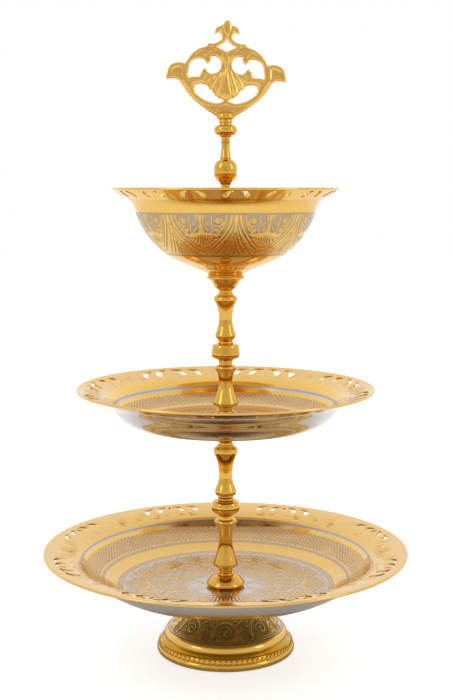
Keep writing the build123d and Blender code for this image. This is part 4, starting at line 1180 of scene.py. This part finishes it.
def ease(v, lo, hi):
    t = np.clip((v - lo) / (hi - lo), 0, 1)
    return t * t * (3 - 2 * t)


hollow = np.zeros(len(Q))
# leaf wings are sunk behind their upper edge
wing = ease(qx, 34.0, 36.5) * (qz > 462)
hollow += 1.10 * wing * ease(dist, 0.9, 4.4)
# shoulders of the heart are gently sunk along their middle
arch = ease(qx, 3.0, 9.0) * (1 - wing) * ease(qz, 478.0, 485.0) * (1 - ease(qz, 492.5, 495.5))
hollow += 0.75 * arch * ease(dist, 1.1, 3.0)
# the palmette: ribs spring from the stem, spread, and bend outwards to the lobes
sx, sz = qx, 488.0 - qz
rad = np.hypot(sx, sz)
ang = np.degrees(np.arctan2(sx, np.maximum(sz, 0.1))) - 0.18 * np.clip(rad - 14, 0, 30)
shell = (1 - ease(qx, 16.8, 18.6)) * ease(qz, 449.8, 451.4) * (1 - ease(qz, 481.0, 486.0))
pitch = 11.0
wave = np.abs(((ang / pitch) + 0.5) % 1.0 - 0.5) * 2          # 0 on a ridge, 1 in a groove
hollow += shell * ease(rad, 5.0, 15.0) * (1.20 * wave ** 1.4 * np.clip(dist / 0.9, 0.3, 1) + 0.10)
# the hooked leaf tip above the lobes is a smooth bowl
tip = ease(qx, 12.6, 14.8) * ease(qz, 468.5, 471.0) * (1 - ease(qx, 17.6, 19.0))
hollow = hollow * (1 - tip) + 0.55 * tip * ease(dist, 0.7, 2.4)
# the stem: a raised line down its middle
stem = ease(qz, 470.0, 476.0) * (1 - ease(qz, 486.0, 489.5)) * (1 - ease(qx, 4.2, 5.4))
hollow += 0.65 * stem * ease(qx, 0.7, 1.8) * (1 - ease(qx, 2.8, 4.0))
# fleur: petals parted by soft grooves
fl = ease(qz, 499.0, 501.0)
fa_ = np.degrees(np.arctan2(qx, qz - 496.5))
hollow += fl * (0.85 * np.exp(-((fa_ - 20) / 5.0) ** 2) + 0.55 * np.exp(-((fa_ - 40) / 6.0) ** 2)) * np.clip(dist / 1.0, 0, 1)
# foot of the heart: a sunk panel above the boss
low = (1 - ease(qz, 446.5, 449.0)) * (1 - ease(qx, 20.0, 26.0))
hollow += 0.60 * low * ease(dist, 1.2, 3.4)
# the small C-scroll brackets carry a groove
br = ease(qx, 19.0, 21.0) * (1 - ease(qx, 27.0, 30.0)) * ease(qz, 462.6, 464.0) * (1 - ease(qz, 469.5, 471.0))
hollow += 0.45 * br * np.exp(-((dist - 1.7) / 0.6) ** 2)
y = np.clip(thick - hollow, 0.8, HT / 2)
# the casting's ridges are worn: every inner point moves towards its neighbours' mean
pairs = np.unique(np.sort(np.vstack([T[:, [0, 1]], T[:, [1, 2]], T[:, [2, 0]]]), axis=1), axis=0)
count = np.bincount(pairs.ravel(), minlength=len(Q))
inner_pts = dist > 0.05
for _ in range(3):
    total = np.bincount(pairs[:, 0], y[pairs[:, 1]], len(Q)) + np.bincount(pairs[:, 1], y[pairs[:, 0]], len(Q))
    y = np.where(inner_pts, 0.5 * y + 0.5 * total / np.maximum(count, 1), y)
LEAN, YAW, SEAT = math.radians(1.15), math.radians(6.0), 436.0


def handle_place(V):
    V = V - [0, 0, 441.0]
    c, s = math.cos(LEAN), math.sin(LEAN)
    V = V @ np.array([[c, 0, s], [0, 1, 0], [-s, 0, c]]).T + [0, 0, 441.0]
    c, s = math.cos(YAW), math.sin(YAW)
    return V @ np.array([[c, -s, 0], [s, c, 0], [0, 0, 1]]).T


nq = len(Q)
front = np.stack([Q[:, 0], -y, Q[:, 1]], 1)
back = np.stack([Q[:, 0], y, Q[:, 1]], 1)
F = [list(f) for f in T] + [[i + nq for i in f[::-1]] for f in T]
for k, ring_ in enumerate(rings):
    n = len(ring_)
    for i in range(n):
        a_, b_ = ring_[i], ring_[(i + 1) % n]
        F.append([b_, a_, a_ + nq, b_ + nq])
V = handle_place(np.vstack([front, back]))
handle = piece("handle_openwork", V, F, "finial", [gold_cast], corner=46)
bm = bmesh.new()
bm.from_mesh(handle.data)
bmesh.ops.recalc_face_normals(bm, faces=bm.faces)
bm.to_mesh(handle.data)
bm.free()
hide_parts("handle_casting")
lathe("handle_boss", [[(6.0, SEAT), (7.0, SEAT + 0.6), (7.4, SEAT + 2.0), (7.2, SEAT + 3.6), (6.2, SEAT + 5.0), (4.6, SEAT + 5.8),
                       (3.0, SEAT + 6.2)]], "finial", gold_turned, N=96)

# small hidden fixings keep their solids and get their own finish
for key, mat in (("tie_rod", steel), ("base_nut", steel), ("base_washer", steel), ("finial_washer", gold_turned)):
    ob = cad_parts[key]
    ob.data.materials.clear()
    ob.data.materials.append(mat)

# ------------------------------------------------------------------ studio
floor_mat = bpy.data.materials.new("studio_floor")
floor_mat.use_nodes = True
fb = floor_mat.node_tree.nodes["Principled BSDF"]
fb.inputs["Roughness"].default_value = 0.6
fb.inputs["Base Color"].default_value = (0.54, 0.535, 0.53, 1)
# painted light: the floor glows though it is no lamp, evenly to camera rays; in reflections its glow falls off near the
# object, a painted shadow under it
lp_node = node(floor_mat.node_tree, "ShaderNodeLightPath")
floor_painted_glow = node(floor_mat.node_tree, "ShaderNodeMix", data_type="FLOAT")
floor_painted_glow.inputs[3].default_value = 0.70
place = node(floor_mat.node_tree, "ShaderNodeNewGeometry")
away = node(floor_mat.node_tree, "ShaderNodeVectorMath", operation="LENGTH")
# painted shadow: in reflections the glow is 0.13 near the middle and rises to 0.54 between 0.13 and 0.40 m out
far = node(floor_mat.node_tree, "ShaderNodeMapRange", interpolation_type="SMOOTHSTEP")
far.inputs["From Min"].default_value = 0.13
far.inputs["From Max"].default_value = 0.40
far.inputs["To Min"].default_value = 0.13
far.inputs["To Max"].default_value = 0.54
floor_mat.node_tree.links.new(place.outputs["Position"], away.inputs[0])
floor_mat.node_tree.links.new(away.outputs["Value"], far.inputs["Value"])
floor_mat.node_tree.links.new(far.outputs["Result"], floor_painted_glow.inputs[2])
floor_mat.node_tree.links.new(lp_node.outputs["Is Camera Ray"], floor_painted_glow.inputs[0])
fb.inputs["Emission Color"].default_value = (1, 1, 1, 1)
floor_mat.node_tree.links.new(floor_painted_glow.outputs[0], fb.inputs["Emission Strength"])
me = bpy.data.meshes.new("studio_floor")
me.from_pydata([(-6, -6, -0.0002), (6, -6, -0.0002), (6, 6, -0.0002), (-6, 6, -0.0002)], [], [(0, 1, 2, 3)])
me.materials.append(floor_mat)
floor_ob = bpy.data.objects.new("studio_floor", me)
scene.collection.objects.link(floor_ob)

world = bpy.data.worlds.new("studio")
scene.world = world
world.use_nodes = True
wn = world.node_tree
bg = wn.nodes["Background"]
tcw = node(wn, "ShaderNodeTexCoord")
sep = node(wn, "ShaderNodeSeparateXYZ")
wn.links.new(tcw.outputs["Generated"], sep.inputs[0])
# a white sweep behind and beside the object; the open side of the studio is dimmer and warm
ramp = node(wn, "ShaderNodeValToRGB")
ramp.color_ramp.interpolation = "EASE"
e = ramp.color_ramp.elements
e[0].position, e[0].color = 0.0, (0.66, 0.635, 0.58, 1)
e[1].position, e[1].color = 1.0, (1.0, 1.0, 1.0, 1)
for pos, col in ((0.045, (0.76, 0.735, 0.68, 1)), (0.12, (0.83, 0.81, 0.77, 1)), (0.35, (0.85, 0.84, 0.81, 1)), (0.62, (0.91, 0.907, 0.90, 1)), (0.85, (1.0, 1.0, 1.0, 1))):
    el = e.new(pos)
    el.color = col
half_y = node(wn, "ShaderNodeMapRange")
half_y.inputs["From Min"].default_value = -1.0
half_y.inputs["From Max"].default_value = 1.0
wn.links.new(sep.outputs["Y"], half_y.inputs["Value"])
wn.links.new(half_y.outputs["Result"], ramp.inputs["Fac"])
wn.links.new(ramp.outputs["Color"], bg.inputs["Color"])
bg.inputs["Strength"].default_value = 1.0


def area(name, loc, aim, size, power, colour=(1, 1, 1)):
    L = bpy.data.lights.new(name, "AREA")
    L.shape = "RECTANGLE"
    L.size, L.size_y = size
    L.energy = power
    L.color = colour
    ob = bpy.data.objects.new(name, L)
    ob.location = loc
    ob.rotation_euler = (Vector(aim) - Vector(loc)).to_track_quat("-Z", "Y").to_euler()
    scene.collection.objects.link(ob)
    return ob


area("softbox_left", (-1.1, -0.7, 1.1), (0, 0, 0.25), (0.5, 1.0), 2.2)
area("softbox_right", (1.2, -0.5, 0.9), (0, 0, 0.25), (0.4, 0.9), 1.4)

cam_data = bpy.data.cameras.new("camera")
cam = bpy.data.objects.new("camera", cam_data)
scene.collection.objects.link(cam)
cam_data.sensor_fit = "VERTICAL"
cam_data.sensor_height = 36.0
cam_data.lens = 36.0 * 1260.661 / 700.0
cam.location = (0.00073, -1.01592, 0.383264)
cam.rotation_euler = (math.pi / 2 - 0.129, 0, 0)
cam_data.clip_start = 0.05
scene.camera = cam
scene.view_settings.view_transform = "Standard"
scene.view_settings.look = "None"
